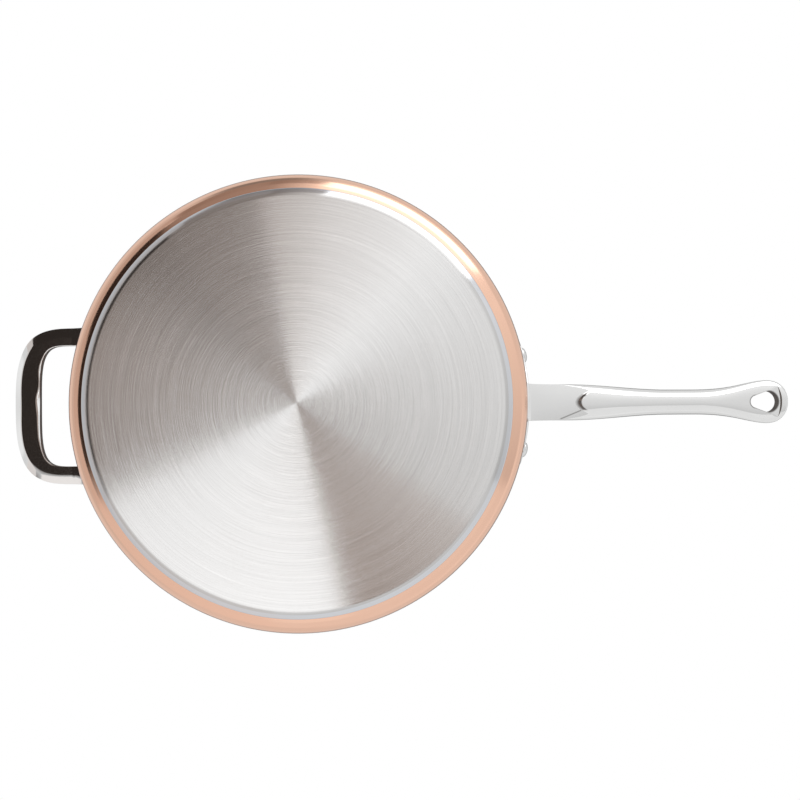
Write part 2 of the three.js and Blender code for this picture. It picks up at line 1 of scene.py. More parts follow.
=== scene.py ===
"""Looks of a shallow copper saucepan with a lid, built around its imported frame.

Metres, +Z up. The origin is the centre of the face that the pan stands on, and +X runs out along the
long handle. The camera looks straight up at the base, so the picture's right is +X and its top is -Y.
"""

import logging
import math
from abc import ABC, abstractmethod
from collections.abc import Callable, Sequence
from dataclasses import dataclass
from enum import Enum
from itertools import pairwise

import bpy
from mathutils import Matrix, Vector


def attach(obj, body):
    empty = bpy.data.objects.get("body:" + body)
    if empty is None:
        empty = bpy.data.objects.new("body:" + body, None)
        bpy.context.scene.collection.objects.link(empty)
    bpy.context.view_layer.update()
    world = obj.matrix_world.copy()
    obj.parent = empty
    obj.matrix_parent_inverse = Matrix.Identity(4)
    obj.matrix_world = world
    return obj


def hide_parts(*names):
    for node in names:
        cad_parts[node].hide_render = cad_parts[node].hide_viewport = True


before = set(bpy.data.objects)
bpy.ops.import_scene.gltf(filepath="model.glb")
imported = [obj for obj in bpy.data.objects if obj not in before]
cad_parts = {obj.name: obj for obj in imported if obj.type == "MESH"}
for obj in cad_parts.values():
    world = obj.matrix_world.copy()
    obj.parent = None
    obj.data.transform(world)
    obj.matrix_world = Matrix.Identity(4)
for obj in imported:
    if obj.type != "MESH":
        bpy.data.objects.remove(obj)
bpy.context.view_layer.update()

Point = tuple[float, float]
Colour = tuple[float, float, float]
Number = "float | Term"

PAN = "pan"
LID = "lid"
SIDES = (1, -1)
QUARTER_TURN = math.pi / 2
HALF_TURN = math.pi
FULL_TURN = 2 * math.pi
MERGE = 1e-6  # points closer than this become one
SEED = 0.002  # side of the square that a profile is started from
WALL_LEAN = 0.5  # a cutter's face is a wall if less than this of its normal runs along the axis
HORIZON = -0.075  # z of the lowest direction in which metal mirrors the sky
NOISE_ROUGHNESS = 0.6
LINE_DETAIL = 2.0

log = logging.getLogger("saucepan")


class Join(Enum):
    """What a boolean does with the tool that it is given."""

    UNION = "UNION"
    CUT = "DIFFERENCE"


class Shading(Enum):
    """The steepest edge that shades smooth on each kind of piece, in degrees."""

    PRESSED = 30
    CAST = 32
    SPUN = 35
    RIVET = 40


class Slot(Enum):
    """The record's material slots, one named for each new piece."""

    COPPER = "copper"
    ALUMINIUM = "aluminium"
    LINER = "liner_steel"
    BASE = "base_steel"
    HANDLE = "handle_steel"
    RIVET = "rivet_steel"
    LID = "lid_steel"


def blend(start: float, end: float, share: float) -> float:
    """Gives the value at a share of the way from start to end."""
    return start + (end - start) * share


def ease(start: float, end: float, at: float) -> float:
    """Rises smoothly from 0 at start to 1 at end."""
    share = min(max((at - start) / (end - start), 0.0), 1.0)
    return share * share * (3 - 2 * share)


def bow(value: float, power: float) -> float:
    """Raises a value to a power and keeps its sign."""
    return math.copysign(abs(value) ** power, value)


def shoulder(share: float, squareness: float) -> float:
    """Gives the height of a super-ellipse quarter at a share of its half width."""
    return max(1 - min(abs(share), 1.0) ** squareness, 0.0) ** (1 / squareness)


def oval(half_x: float, half_y: float, squareness: float, turn: float) -> Point:
    """Gives a point of a super-ellipse at a turn of its parameter."""
    power = 2 / squareness
    return half_x * bow(math.cos(turn), power), half_y * bow(math.sin(turn), power)


def soft_min(first: float, second: float, radius: float) -> float:
    """Gives the smaller of two values, with a rounding where they are alike."""
    near = max(radius - abs(first - second), 0.0) / radius
    return min(first, second) - near * near * radius / 4


def curl(run: float, radius: float, steepest: float) -> float:
    """Gives the height of an arc that rises from level, and goes straight on from its steepest angle.

    Args:
        run: the distance along the ground from the arc's start.
        radius: the arc's radius.
        steepest: the angle at which it goes on straight, in radians.

    Returns:
        The height.
    """
    bend = radius * math.sin(steepest)
    turned = min(max(run, 0.0), bend)
    return radius - math.sqrt(radius**2 - turned**2) + max(run - bend, 0.0) * math.tan(steepest)


@dataclass(frozen=True)
class Ring:
    """A super-ellipse, which is an ellipse at a squareness of 2 and boxier above it."""

    half_x: float
    half_y: float
    squareness: float

    def point(self, angle: float) -> Point:
        """Gives the point that is seen at an angle from the middle, in radians."""
        along = abs(math.cos(angle) / self.half_x) ** self.squareness
        across = abs(math.sin(angle) / self.half_y) ** self.squareness
        radius = (along + across) ** (-1 / self.squareness)
        return radius * math.cos(angle), radius * math.sin(angle)


def arc(centre: Point, radius: float, start: float, end: float, steps: int) -> list[Point]:
    """Lays points on an arc.

    Args:
        centre: the arc's middle, as (radius, height) of a profile.
        radius: the arc's radius.
        start: the first point's angle, in radians.
        end: the last point's angle.
        steps: how many stretches the arc is cut into.

    Returns:
        The arc's points, both ends included.
    """
    angles = [blend(start, end, step / steps) for step in range(steps + 1)]
    return [(centre[0] + radius * math.cos(a), centre[1] + radius * math.sin(a)) for a in angles]


def bezier(points: Sequence[Point], share: float) -> Point:
    """Gives a point of a cubic curve.

    Args:
        points: the curve's four control points.
        share: how far along the curve the point lies, from 0 to 1.

    Returns:
        The point.
    """
    rest = 1 - share
    weights = (rest**3, 3 * rest**2 * share, 3 * rest * share**2, share**3)
    first = sum(weight * point[0] for weight, point in zip(weights, points))
    second = sum(weight * point[1] for weight, point in zip(weights, points))
    return first, second


def offset(line: Sequence[Point], distance: float) -> list[Point]:
    """Shifts an open line to its left, with mitred corners.

    Args:
        line: the line's points.
        distance: how far the line moves.

    Returns:
        The shifted line's points.
    """
    along = [(Vector(b) - Vector(a)).normalized() for a, b in pairwise(line)]
    shifted = []
    for at, point in enumerate(line):
        after = along[min(at, len(along) - 1)]
        tangent = (along[max(at - 1, 0)] + after).normalized()
        stretch = distance / tangent.dot(after)
        shifted.append((point[0] - tangent.y * stretch, point[1] + tangent.x * stretch))
    return shifted


class Workbench:
    """Blender's modelling operators, used on one mesh at a time with nothing else selected."""

    @staticmethod
    def clear() -> None:
        """Leaves edit mode and deselects everything."""
        if bpy.context.object is not None and bpy.context.object.mode != "OBJECT":
            bpy.ops.object.mode_set(mode="OBJECT")
        bpy.ops.object.select_all(action="DESELECT")

    @staticmethod
    def adopt(name: str) -> bpy.types.Object:
        """Names the primitive that was just added, and puts its place into its mesh."""
        piece = bpy.context.active_object
        piece.name = name
        piece.data.name = name
        bpy.ops.object.transform_apply(location=True, rotation=True, scale=True)
        return piece

    @staticmethod
    def pick(piece: bpy.types.Object) -> None:
        """Selects one object alone and makes it active."""
        Workbench.clear()
        piece.select_set(True)
        bpy.context.view_layer.objects.active = piece

    @staticmethod
    def close_up(piece: bpy.types.Object) -> None:
        """Merges doubled points, fills open ends and turns all faces outwards."""
        Workbench.pick(piece)
        bpy.ops.object.mode_set(mode="EDIT")
        bpy.ops.mesh.select_all(action="SELECT")
        bpy.ops.mesh.remove_doubles(threshold=MERGE)
        bpy.ops.mesh.dissolve_degenerate(threshold=MERGE)
        bpy.ops.mesh.select_all(action="SELECT")
        bpy.ops.mesh.fill_holes(sides=0)
        bpy.ops.mesh.select_all(action="SELECT")
        bpy.ops.mesh.normals_make_consistent(inside=False)
        bpy.ops.object.mode_set(mode="OBJECT")

    @staticmethod
    def draw(name: str, profile: Sequence[Point]) -> bpy.types.Object:
        """Draws a profile in the XZ plane by extruding one point along it, and stays in edit mode.

        Args:
            name: the new object's name.
            profile: (radius, height) points.

        Returns:
            The object, with its profile selected.
        """
        Workbench.clear()
        bpy.ops.mesh.primitive_plane_add(size=SEED, location=(profile[0][0], 0, profile[0][1]))
        piece = Workbench.adopt(name)
        bpy.ops.object.mode_set(mode="EDIT")
        bpy.ops.mesh.select_all(action="SELECT")
        bpy.ops.mesh.merge(type="CENTER")
        for (r0, z0), (r1, z1) in pairwise(profile):
            bpy.ops.mesh.extrude_region_move(TRANSFORM_OT_translate={"value": (r1 - r0, 0, z1 - z0)})
        bpy.ops.mesh.select_all(action="SELECT")
        return piece

    @staticmethod
    def spin(name: str, profile: Sequence[Point], steps: int) -> bpy.types.Object:
        """Spins a profile round +Z into a closed body.

        Args:
            name: the new object's name.
            profile: (radius, height) points, round the body's section.
            steps: how many stretches the turn is cut into.

        Returns:
            The closed body.
        """
        piece = Workbench.draw(name, profile)
        bpy.ops.mesh.spin(steps=steps, angle=FULL_TURN, center=(0, 0, 0), axis=(0, 0, 1))
        Workbench.close_up(piece)
        return piece

    @staticmethod
    def spin_drum(name: str, radius: float, low: float, high: float, steps: int) -> bpy.types.Object:
        """Spins a drum that stands between two heights."""
        section = [(0.0, low), (radius, low), (radius, high), (0.0, high)]
        return Workbench.spin(name, section, steps)

    @staticmethod
    def spin_sheet(
        name: str, line: Sequence[Point], near: float, far: float, steps: int
    ) -> bpy.types.Object:
        """Spins the sheet between two offsets of a line, both counted to its left."""
        profile = [*offset(line, near), *reversed(offset(line, far))]
        return Workbench.spin(name, [*profile, profile[0]], steps)

    @staticmethod
    def skin(
        name: str, rows: int, columns: int, place: Callable[[int, float], Vector]
    ) -> bpy.types.Object:
        """Wraps a grid into a closed tube, one ring of points a row.

        Args:
            name: the new object's name.
            rows: how many rings there are.
            columns: how many points a ring has.
            place: gives a point from its row and its angle round the ring.

        Returns:
            The closed body.
        """
        Workbench.clear()
        bpy.ops.mesh.primitive_grid_add(x_subdivisions=rows - 1, y_subdivisions=columns, size=1)
        piece = Workbench.adopt(name)
        for at, vertex in enumerate(piece.data.vertices):
            column, row = divmod(at, rows)
            vertex.co = place(row, FULL_TURN * (column % columns) / columns)
        Workbench.close_up(piece)
        return piece

    @staticmethod
    def modify(piece: bpy.types.Object, kind: str, **settings: object) -> None:
        """Adds a modifier to a piece and applies it.

        Args:
            piece: the object to change.
            kind: the modifier's type.
            settings: the modifier's own properties.
        """
        Workbench.pick(piece)
        bpy.ops.object.modifier_add(type=kind)
        modifier = piece.modifiers[-1]
        for key, value in settings.items():
            setattr(modifier, key, value)
        bpy.ops.object.modifier_apply(modifier=modifier.name)

    @staticmethod
    def bevel(piece: bpy.types.Object, width: float, segments: int, angle: float) -> None:
        """Rounds the edges that are sharper than an angle."""
        Workbench.modify(piece, "BEVEL", width=width, segments=segments, angle_limit=angle)

    @staticmethod
    def join(piece: bpy.types.Object, tool: bpy.types.Object, how: Join) -> None:
        """Joins a tool to a piece or cuts it out of the piece, and removes the tool."""
        Workbench.modify(piece, "BOOLEAN", operation=how.value, object=tool, solver="EXACT")
        bpy.data.objects.remove(tool)

    @staticmethod
    def mark_walls(piece: bpy.types.Object, axis: Vector) -> None:
        """Gives a cutter's walls material number 1 and the faces across its axis number 0."""
        for face in piece.data.polygons:
            face.material_index = 1 if abs(face.normal.dot(axis)) < WALL_LEAN else 0

    @staticmethod
    def copy(piece: bpy.types.Object, name: str, place: Matrix) -> bpy.types.Object:
        """Copies a piece with a mesh of its own.

        Args:
            piece: the object to copy.
            name: the copy's name.
            place: where the copy's points move to.

        Returns:
            The copy.
        """
        twin = piece.copy()
        twin.data = piece.data.copy()
        twin.name = name
        twin.data.name = name
        twin.data.transform(place)
        bpy.context.scene.collection.objects.link(twin)
        return twin

    @staticmethod
    def smooth(piece: bpy.types.Object, shading: Shading) -> None:
        """Shades a piece smooth, apart from its sharp edges."""
        Workbench.pick(piece)
        bpy.ops.object.shade_smooth_by_angle(angle=math.radians(shading.value))


class Term:
    """A shader value that adds Math nodes when it takes part in an expression."""

    def __init__(self, board: "ShaderBoard", socket: bpy.types.NodeSocket) -> None:
        """Wraps a socket of a board's tree."""
        self.board = board
        self.socket = socket

    def __add__(self, other: Number) -> "Term":
        """Adds a value."""
        return self.board.math("ADD", self, other)

    __radd__ = __add__

    def __sub__(self, other: Number) -> "Term":
        """Takes a value away."""
        return self.board.math("SUBTRACT", self, other)

    def __rsub__(self, other: Number) -> "Term":
        """Is taken away from a value."""
        return self.board.math("SUBTRACT", other, self)

    def __mul__(self, other: Number) -> "Term":
        """Multiplies by a value."""
        return self.board.math("MULTIPLY", self, other)

    __rmul__ = __mul__

    def __truediv__(self, other: Number) -> "Term":
        """Divides by a value."""
        return self.board.math("DIVIDE", self, other)

    def swing(self, width: float, middle: float) -> "Term":
        """Stretches a value that lies about a half to a width about a new middle."""
        return (self - 0.5) * width + middle


class ShaderBoard:
    """A node tree that shader expressions are written on."""

    def __init__(self, tree: bpy.types.NodeTree) -> None:
        """Empties a tree and takes it over."""
        tree.nodes.clear()
        self.tree = tree

    def node(self, kind: str, sockets: dict | None = None, **settings: object) -> bpy.types.Node:
        """Adds a node.

        Args:
            kind: the node's type.
            sockets: values, terms or sockets for its inputs, by name or number.
            settings: its own properties, set first.

        Returns:
            The node.
        """
        made = self.tree.nodes.new(kind)
        for key, value in settings.items():
            setattr(made, key, value)
        for key, value in (sockets or {}).items():
            socket = made.inputs[key]
            if isinstance(value, Term):
                self.tree.links.new(value.socket, socket)
            elif isinstance(value, bpy.types.NodeSocket):
                self.tree.links.new(value, socket)
            else:
                socket.default_value = value
        return made

    def math(self, operation: str, *values: Number) -> Term:
        """Adds a Math node and gives its result."""
        made = self.node("ShaderNodeMath", dict(enumerate(values)), operation=operation)
        return Term(self, made.outputs[0])

    def mix(
        self, share: Term, first: Colour | bpy.types.NodeSocket, second: Colour
    ) -> bpy.types.NodeSocket:
        """Blends two colours by a share.

        Args:
            share: 0 gives the first colour and 1 the second.
            first: a linear colour or a colour's socket.
            second: a linear colour.

        Returns:
            The blended colour's socket.
        """
        start = (*first, 1) if isinstance(first, tuple) else first
        sockets = {0: share, 6: start, 7: (*second, 1)}
        return self.node("ShaderNodeMix", sockets, data_type="RGBA", clamp_factor=True).outputs[2]

    def clamp(self, value: Term) -> Term:
        """Keeps a value between 0 and 1."""
        return self.math("MAXIMUM", self.math("MINIMUM", value, 1.0), 0.0)

    def place(self) -> bpy.types.NodeSocket:
        """Gives a point's place on its piece."""
        return self.node("ShaderNodeTexCoord").outputs["Object"]

    def split(self, vector: bpy.types.NodeSocket) -> list[Term]:
        """Gives a vector's three parts."""
        return [Term(self, part) for part in self.node("ShaderNodeSeparateXYZ", {0: vector}).outputs]

    def noise(self, vector: bpy.types.NodeSocket, scale: float, detail: float) -> Term:
        """Gives a cloudy value from 0 to 1.

        Args:
            vector: where the noise is read.
            scale: how many blots lie on a metre, or on a unit of the vector.
            detail: how many finer layers are added.

        Returns:
            The noise value.
        """
        sockets = {"Vector": vector, "Scale": scale, "Detail": detail, "Roughness": NOISE_ROUGHNESS}
        return Term(self, self.node("ShaderNodeTexNoise", sockets).outputs[0])

    def streaks(self, across: Term, density: float, arcs: float) -> Term:
        """Gives fine lines that run round +Z.

        Args:
            across: the distance that the lines are counted over.
            density: how many lines lie on a metre.
            arcs: how many times a line changes on a radian.

        Returns:
            The line value, from 0 to 1.
        """
        x, y, _ = self.split(self.place())
        safe = self.math("MAXIMUM", self.radius(), MERGE)
        parts = {0: across * density, 1: x / safe * arcs, 2: y / safe * arcs}
        vector = self.node("ShaderNodeCombineXYZ", parts).outputs[0]
        return self.noise(vector, 1.0, LINE_DETAIL)

    def length(self, first: Term, second: Term) -> Term:
        """Gives the length of a flat vector from its two parts."""
        return self.math("SQRT", first * first + second * second)

    def radius(self) -> Term:
        """Gives a point's distance from the Z axis."""
        x, y, _ = self.split(self.place())
        return self.length(x, y)

    def relief(self, height: Term, strength: float, depth: float) -> bpy.types.NodeSocket:
        """Gives a normal that a height value has roughened.

        Args:
            height: the relief, from 0 to 1.
            strength: how much of it shows.
            depth: how deep it is, in metres.

        Returns:
            The normal's socket.
        """
        sockets = {"Strength": strength, "Distance": depth, "Height": height}
        return self.node("ShaderNodeBump", sockets).outputs[0]

    def show(self, shader: bpy.types.Node) -> None:
        """Makes a shader the material's surface."""
        self.node("ShaderNodeOutputMaterial", {"Surface": shader.outputs[0]})

    def show_metal(self, sockets: dict[str, object]) -> None:
        """Makes a metal the material's surface.

        Args:
            sockets: the metal's values, terms or sockets, by name.
        """
        self.show(self.node("ShaderNodeBsdfPrincipled", {"Metallic": 1.0, **sockets}))


def new_material(name: str) -> tuple[bpy.types.Material, ShaderBoard]:
    """Makes a material with an empty node tree."""
    material = bpy.data.materials.new(name)
    material.use_nodes = True
    return material, ShaderBoard(material.node_tree)


@dataclass(frozen=True)
class SpunSteel:
    """Steel that is brushed on a turning lathe, with fine lines all round, and a painted shade ring that
    can darken its outer margin.
    """

    name: str
    dark: Colour
    light: Colour
    roughness: float
    anisotropy: float
    line_density: float = 2100.0
    band_density: float = 240.0
    scratch_density: float = 1300.0
    line_arcs: float = 1.6
    band_arcs: float = 0.7
    scratch_arcs: float = 1.5
    line_share: float = 0.8
    scratch_level: float = 0.62
    scratch_gain: float = 1.3
    contrast: float = 1.7
    roughness_swing: float = 0.04
    brushing_turn: float = 0.25
    relief_strength: float = 0.3
    relief_depth: float = 0.00002
    rim_radius: float = 1.0
    rim_width: float = 0.0012
    rim_shade_share: float = 0.0
    rim_shade_colour: Colour = (0.20, 0.19, 0.185)

    def make(self) -> bpy.types.Material:
        """Builds the material."""
        material, board = new_material(self.name)
        radius = board.radius()
        lines = board.streaks(radius, self.line_density, self.line_arcs)
        bands = board.streaks(radius, self.band_density, self.band_arcs)
        scratches = board.streaks(radius, self.scratch_density, self.scratch_arcs)
        grain = lines * self.line_share + bands * (1 - self.line_share)
        bright = board.math("MAXIMUM", scratches - self.scratch_level, 0.0) * self.scratch_gain
        shade = board.mix(grain.swing(self.contrast, 0.5) + bright, self.dark, self.light)
        # painted shade: a dark ring near the outer edge of the brushed face
        rim_shade = board.clamp((radius - self.rim_radius) / self.rim_width + 1) * self.rim_shade_share
        shade = board.mix(rim_shade, shade, self.rim_shade_colour)
        tangent = board.node("ShaderNodeTangent", direction_type="RADIAL", axis="Z").outputs[0]
        board.show_metal(
            {
                "Base Color": shade,
                "Roughness": grain.swing(self.roughness_swing, self.roughness),
                "Anisotropic": self.anisotropy,
                "Anisotropic Rotation": self.brushing_turn,
                "Tangent": tangent,
                "Normal": board.relief(grain, self.relief_strength, self.relief_depth),
            }
        )
        return material


@dataclass(frozen=True)
class PaintedShadeMark(ABC):
    """A part of a handle's underside painted dark as shade, which also gets a rougher, duller finish."""

    ceiling: float
    depth: float

    @abstractmethod
    def inside(self, board: ShaderBoard, x: Term, y: Term) -> Term:
        """Gives a value that rises from 0 at the mark's edge."""

    def share(self, board: ShaderBoard) -> Term:
        """Gives how strongly the painted shade and the duller finish lie on a point, from 0 to 1."""
        x, y, z = board.split(board.place())
        below = board.math("LESS_THAN", z, self.ceiling)
        return board.clamp(self.inside(board, x, y)) * below * self.depth


@dataclass(frozen=True)
class Crease(PaintedShadeMark):
    """Painted shade in an inside corner that follows a parabola about the handle's middle line."""

    x: float
    bend: float
    before: float
    after: float
    half_width: float
    fade: float = 0.0008
    core: float = 1.4

    def inside(self, board: ShaderBoard, x: Term, y: Term) -> Term:
        """Gives how far a point lies inside the crease."""
        front = x - self.x - y * y / (2 * self.bend)
        inner = (front / self.before + 1) * self.core
        outer = (1 - front / self.after) * self.core
        side = (self.half_width - board.math("ABSOLUTE", y)) / self.fade
        return board.math("MINIMUM", board.math("MINIMUM", inner, outer), side)


@dataclass(frozen=True)
class Seam(PaintedShadeMark):
    """A thin painted dark line of shade where two faces meet in an inside corner."""

    start: Point
    end: Point
    half_width: float

    def inside(self, board: ShaderBoard, x: Term, y: Term) -> Term:
        """Gives how close a point lies to the seam."""
        right, across = x - self.start[0], y - self.start[1]
        run = Vector(self.end) - Vector(self.start)
        along = board.clamp((right * run.x + across * run.y) / run.length_squared)
        aside, below = right - along * run.x, across - along * run.y
        return 1 - board.length(aside, below) / self.half_width


@dataclass(frozen=True)
class HoleRim(PaintedShadeMark):
    """Painted shade round the rim of a teardrop hole."""

    x: float
    radius: float
    narrow_x: float
    narrow_radius: float
    width: float

    def inside(self, board: ShaderBoard, x: Term, y: Term) -> Term:
        """Gives how close a point lies to the hole."""
        length = self.x - self.narrow_x
        along = board.clamp((self.x - x) / length)
        aside = x - self.x + along * length
        edge = self.radius - along * (self.radius - self.narrow_radius)
        return 1 - (board.length(aside, y) - edge) / self.width


@dataclass(frozen=True)
class PolishedMetal:
    """Metal that is buffed to a shine, with faint clouds and wipe marks left in it, and any marks of
    painted shade laid on it.
    """

    name: str
    colour: Colour
    tint: Colour
    roughness: float
    cloud_scale: float = 22.0
    cloud_detail: float = 3.0
    cloud_share: float = 0.6
    mark_scale: float = 260.0
    mark_detail: float = 2.0
    roughness_swing: float = 0.05
    relief_strength: float = 0.12
    relief_depth: float = 0.00003
    painted_shade_marks: tuple[PaintedShadeMark, ...] = ()
    painted_shade_colour: Colour = (0.055, 0.043, 0.037)
    dull_roughness: float = 0.35

    def make(self) -> bpy.types.Material:
        """Builds the material."""
        material, board = new_material(self.name)
        vector = board.place()
        clouds = board.noise(vector, self.cloud_scale, self.cloud_detail)
        marks = board.noise(vector, self.mark_scale, self.mark_detail)
        colour = board.mix(clouds, self.colour, self.tint)
        wear = clouds * self.cloud_share + marks * (1 - self.cloud_share)
        roughness = wear.swing(self.roughness_swing, self.roughness)
        for mark in self.painted_shade_marks:
            # painted shade: each mark darkens the colour and raises the roughness
            painted_shade = mark.share(board)
            colour = board.mix(painted_shade, colour, self.painted_shade_colour)
            roughness = roughness + painted_shade * self.dull_roughness
        normal = board.relief(marks, self.relief_strength, self.relief_depth)
        board.show_metal({"Base Color": colour, "Roughness": roughness, "Normal": normal})
        return material


@dataclass(frozen=True)
class BuffedCopper:
    """Copper that is buffed round its wall, with warm clouds and faint buffing lines."""

    name: str
    colour: Colour
    tint: Colour
    roughness: float
    cloud_scale: float = 16.0
    cloud_detail: float = 4.0
    cloud_share: float = 0.7
    line_density: float = 1500.0
    line_arcs: float = 3.0
    roughness_swing: float = 0.08
    relief_strength: float = 0.15
    relief_depth: float = 0.00002

    def make(self) -> bpy.types.Material:
        """Builds the material."""
        material, board = new_material(self.name)
        vector = board.place()
        clouds = board.noise(vector, self.cloud_scale, self.cloud_detail)
        lines = board.streaks(board.split(vector)[2], self.line_density, self.line_arcs)
        warmth = clouds * self.cloud_share + lines * (1 - self.cloud_share)
        board.show_metal(
            {
                "Base Color": board.mix(warmth, self.colour, self.tint),
                "Roughness": lines.swing(self.roughness_swing, self.roughness),
                "Normal": board.relief(lines, self.relief_strength, self.relief_depth),
            }
        )
        return material


class Finishes:
    """Every finish of the pan, made once."""

    def __init__(self) -> None:
        """Makes the materials."""
        self.copper = BuffedCopper(
            "buffed_copper", (0.835, 0.52, 0.385), (0.89, 0.585, 0.445), 0.14
        ).make()
        self.aluminium = PolishedMetal(
            "rolled_aluminium", (0.52, 0.53, 0.54), (0.60, 0.61, 0.62), 0.42
        ).make()
        # the base face carries a painted shade ring just inside its polished edge
        self.base_face = SpunSteel(
            "spun_base_steel", (0.66, 0.655, 0.65), (0.88, 0.875, 0.87), 0.16, 1.0,
            contrast=1.25, relief_depth=0.00021, rim_radius=0.1258, rim_shade_share=0.33,
        ).make()
        self.liner = SpunSteel(
            "satin_liner_steel", (0.50, 0.495, 0.49), (0.64, 0.635, 0.63), 0.36, 0.7
        ).make()
        self.lid = SpunSteel(
            "satin_lid_steel", (0.54, 0.54, 0.535), (0.68, 0.68, 0.675), 0.34, 0.75
        ).make()
        # painted shade on the long handle: the grip's nose crease, a seam line and the hang hole's rim
        nose = Crease(
            ceiling=0.0620, depth=0.86,
            x=0.1761, bend=0.0032, before=0.0034, after=0.0013, half_width=0.0053,
        )
        seam = Seam(
            ceiling=0.0590, depth=0.75,
            start=(0.1765, 0.0052), end=(0.1635, 0.0104), half_width=0.0006,
        )
        rim_shade = HoleRim(
            ceiling=0.0955, depth=0.9,
            x=0.3029, radius=0.0068, narrow_x=0.2945, narrow_radius=0.004, width=0.0009,
        )
        self.handle = PolishedMetal(
            "polished_cast_steel", (0.78, 0.78, 0.775), (0.84, 0.84, 0.835), 0.085,
            painted_shade_marks=(nose, seam, rim_shade),
        ).make()
        self.helper = PolishedMetal(
            "mirror_cast_steel", (0.93, 0.93, 0.925), (0.97, 0.97, 0.965), 0.075
        ).make()
        # unpolished cast walls, darkened further with painted shade: the hang hole, its land and the
        # inside of the helper loop
        self.raw_and_shade = PolishedMetal(
            "raw_cast_steel_painted_shade", (0.11, 0.092, 0.083), (0.19, 0.165, 0.15), 0.42
        ).make()
        self.edge = PolishedMetal(
            "polished_edge_steel", (0.62, 0.63, 0.655), (0.68, 0.69, 0.715), 0.11
        ).make()
        self.rivet = PolishedMetal(
            "polished_rivet_steel", (0.70, 0.70, 0.695), (0.78, 0.78, 0.775), 0.13
        ).make()


def coat(piece: bpy.types.Object, *materials: bpy.types.Material) -> None:
    """Gives a piece its materials, in the order of its mesh's material numbers."""
    for material in materials:
        piece.data.materials.append(material)


def hide(thing: bpy.types.Object, *rays: str) -> None:
    """Leaves a thing out of what the named kinds of rays see."""
    for kind in rays:
        setattr(thing, f"visible_{kind}", False)


def dress(
    piece: bpy.types.Object, body: str, nodes: Sequence[str], slot: Slot, *materials: bpy.types.Material
) -> None:
    """Finishes a piece: material, body and the nodes it stands for.

    Args:
        piece: the finished mesh.
        body: the body that it rides on.
        nodes: the frame's nodes that it replaces.
        slot: the record's material slot; not used.
        materials: its materials, if it has none yet.
    """
    coat(piece, *materials)
    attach(piece, body)
    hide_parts(*nodes)
    log.info("%s: %d faces on %s", piece.name, len(piece.data.polygons), body)


@dataclass
class PanBody:
    """The pan's wall and floor: a copper skin, an aluminium core and a steel liner."""

    wall_radius: float = 0.140
    rim_height: float = 0.070
    corner_radius: float = 0.012
    floor: float = 0.0046
    copper_ply: float = 0.0005
    core_ply: float = 0.0017
    liner_ply: float = 0.0005
    ply_gap: float = 0.00005
    lip_radius: float = 0.004
    lip_turn: float = math.radians(45)
    edge_round: float = 0.00016
    edge_segments: int = 2
    edge_angle: float = math.radians(50)
    corner_steps: int = 24
    lip_steps: int = 10
    turn_steps: int = 240

    def outer_line(self) -> list[Point]:
        """Draws the outside line: floor, rounded corner, straight wall and flared pouring lip."""
        thickness = self.copper_ply + self.core_ply + self.liner_ply + 2 * self.ply_gap
        corner = (self.wall_radius - self.corner_radius, self.floor + self.corner_radius)
        lip_height = self.rim_height - (self.lip_radius + thickness) * math.sin(self.lip_turn)
        lip = (self.wall_radius + self.lip_radius, lip_height)
        return [
            (0.0, self.floor),
            *arc(corner, self.corner_radius, -QUARTER_TURN, 0, self.corner_steps),
            *arc(lip, self.lip_radius, HALF_TURN, HALF_TURN - self.lip_turn, self.lip_steps),
        ]

    def ply(self, name: str, near: float, far: float) -> bpy.types.Object:
        """Spins one layer of the wall.

        Args:
            name: the new piece's name.
            near: its outer face's distance inwards from the outside line.
            far: its inner face's distance.

        Returns:
            The layer.
        """
        piece = Workbench.spin_sheet(name, self.outer_line(), near, far, self.turn_steps)
        Workbench.bevel(piece, self.edge_round, self.edge_segments, self.edge_angle)
        Workbench.smooth(piece, Shading.SPUN)
        return piece

    def build(self, finishes: Finishes) -> None:
        """Builds and dresses the three layers."""
        layers = (
            ("copper_skin", "copper_shell", self.copper_ply, Slot.COPPER, finishes.copper),
            ("core_layer", "aluminium_core", self.core_ply, Slot.ALUMINIUM, finishes.aluminium),
            ("cooking_surface", "steel_liner", self.liner_ply, Slot.LINER, finishes.liner),
        )
        near = 0.0
        for name, node, thickness, slot, finish in layers:
            far = near + thickness
            dress(self.ply(name, near, far), PAN, [node], slot, finish)
            near = far + self.ply_gap


@dataclass
class BaseDisc:
    """The base disc: a brushed steel cap with a polished edge, over its heat spreader."""

    radius: float = 0.13025
    top: float = 0.0045
    flat_radius: float = 0.1248
    brushed_radius: float = 0.1272
    slope: float = math.radians(38)
    inner_round: float = 0.005
    outer_round: float = 0.0016
    ply: float = 0.0008
    edge_steps: int = 10
    ring_steps: int = 12
    turn_steps: int = 240

    def build(self, finishes: Finishes) -> None:
        """Builds and dresses the cap, and gives the spreader its finish."""
        rings = [(self.flat_radius * step / self.ring_steps, 0.0) for step in range(self.ring_steps)]
        level, sloped = -QUARTER_TURN, self.slope - QUARTER_TURN
        corner = (self.flat_radius, self.inner_round)
        inner = arc(corner, self.inner_round, level, sloped, self.edge_steps)
        centre_radius = self.radius - self.outer_round
        out = centre_radius + self.outer_round * math.sin(self.slope) - inner[-1][0]
        centre_height = inner[-1][1] + out * math.tan(self.slope) + self.outer_round * math.cos(self.slope)
        outer = arc((centre_radius, centre_height), self.outer_round, sloped, 0, self.edge_steps)
        line = [*rings, *inner, *outer, (self.radius, self.top)]
        cap = Workbench.spin_sheet("base_disc_cap", line, 0.0, self.ply, self.turn_steps)
        Workbench.smooth(cap, Shading.SPUN)
        dress(cap, PAN, ["base_cap"], Slot.BASE, finishes.base_face, finishes.edge)
        for face in cap.data.polygons:
            brushed = face.normal.z < 0 and Vector(face.center[:2]).length < self.brushed_radius
            face.material_index = 0 if brushed else 1
        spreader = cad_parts["base_spreader"]
        spreader.data.materials.clear()
        coat(spreader, finishes.aluminium)


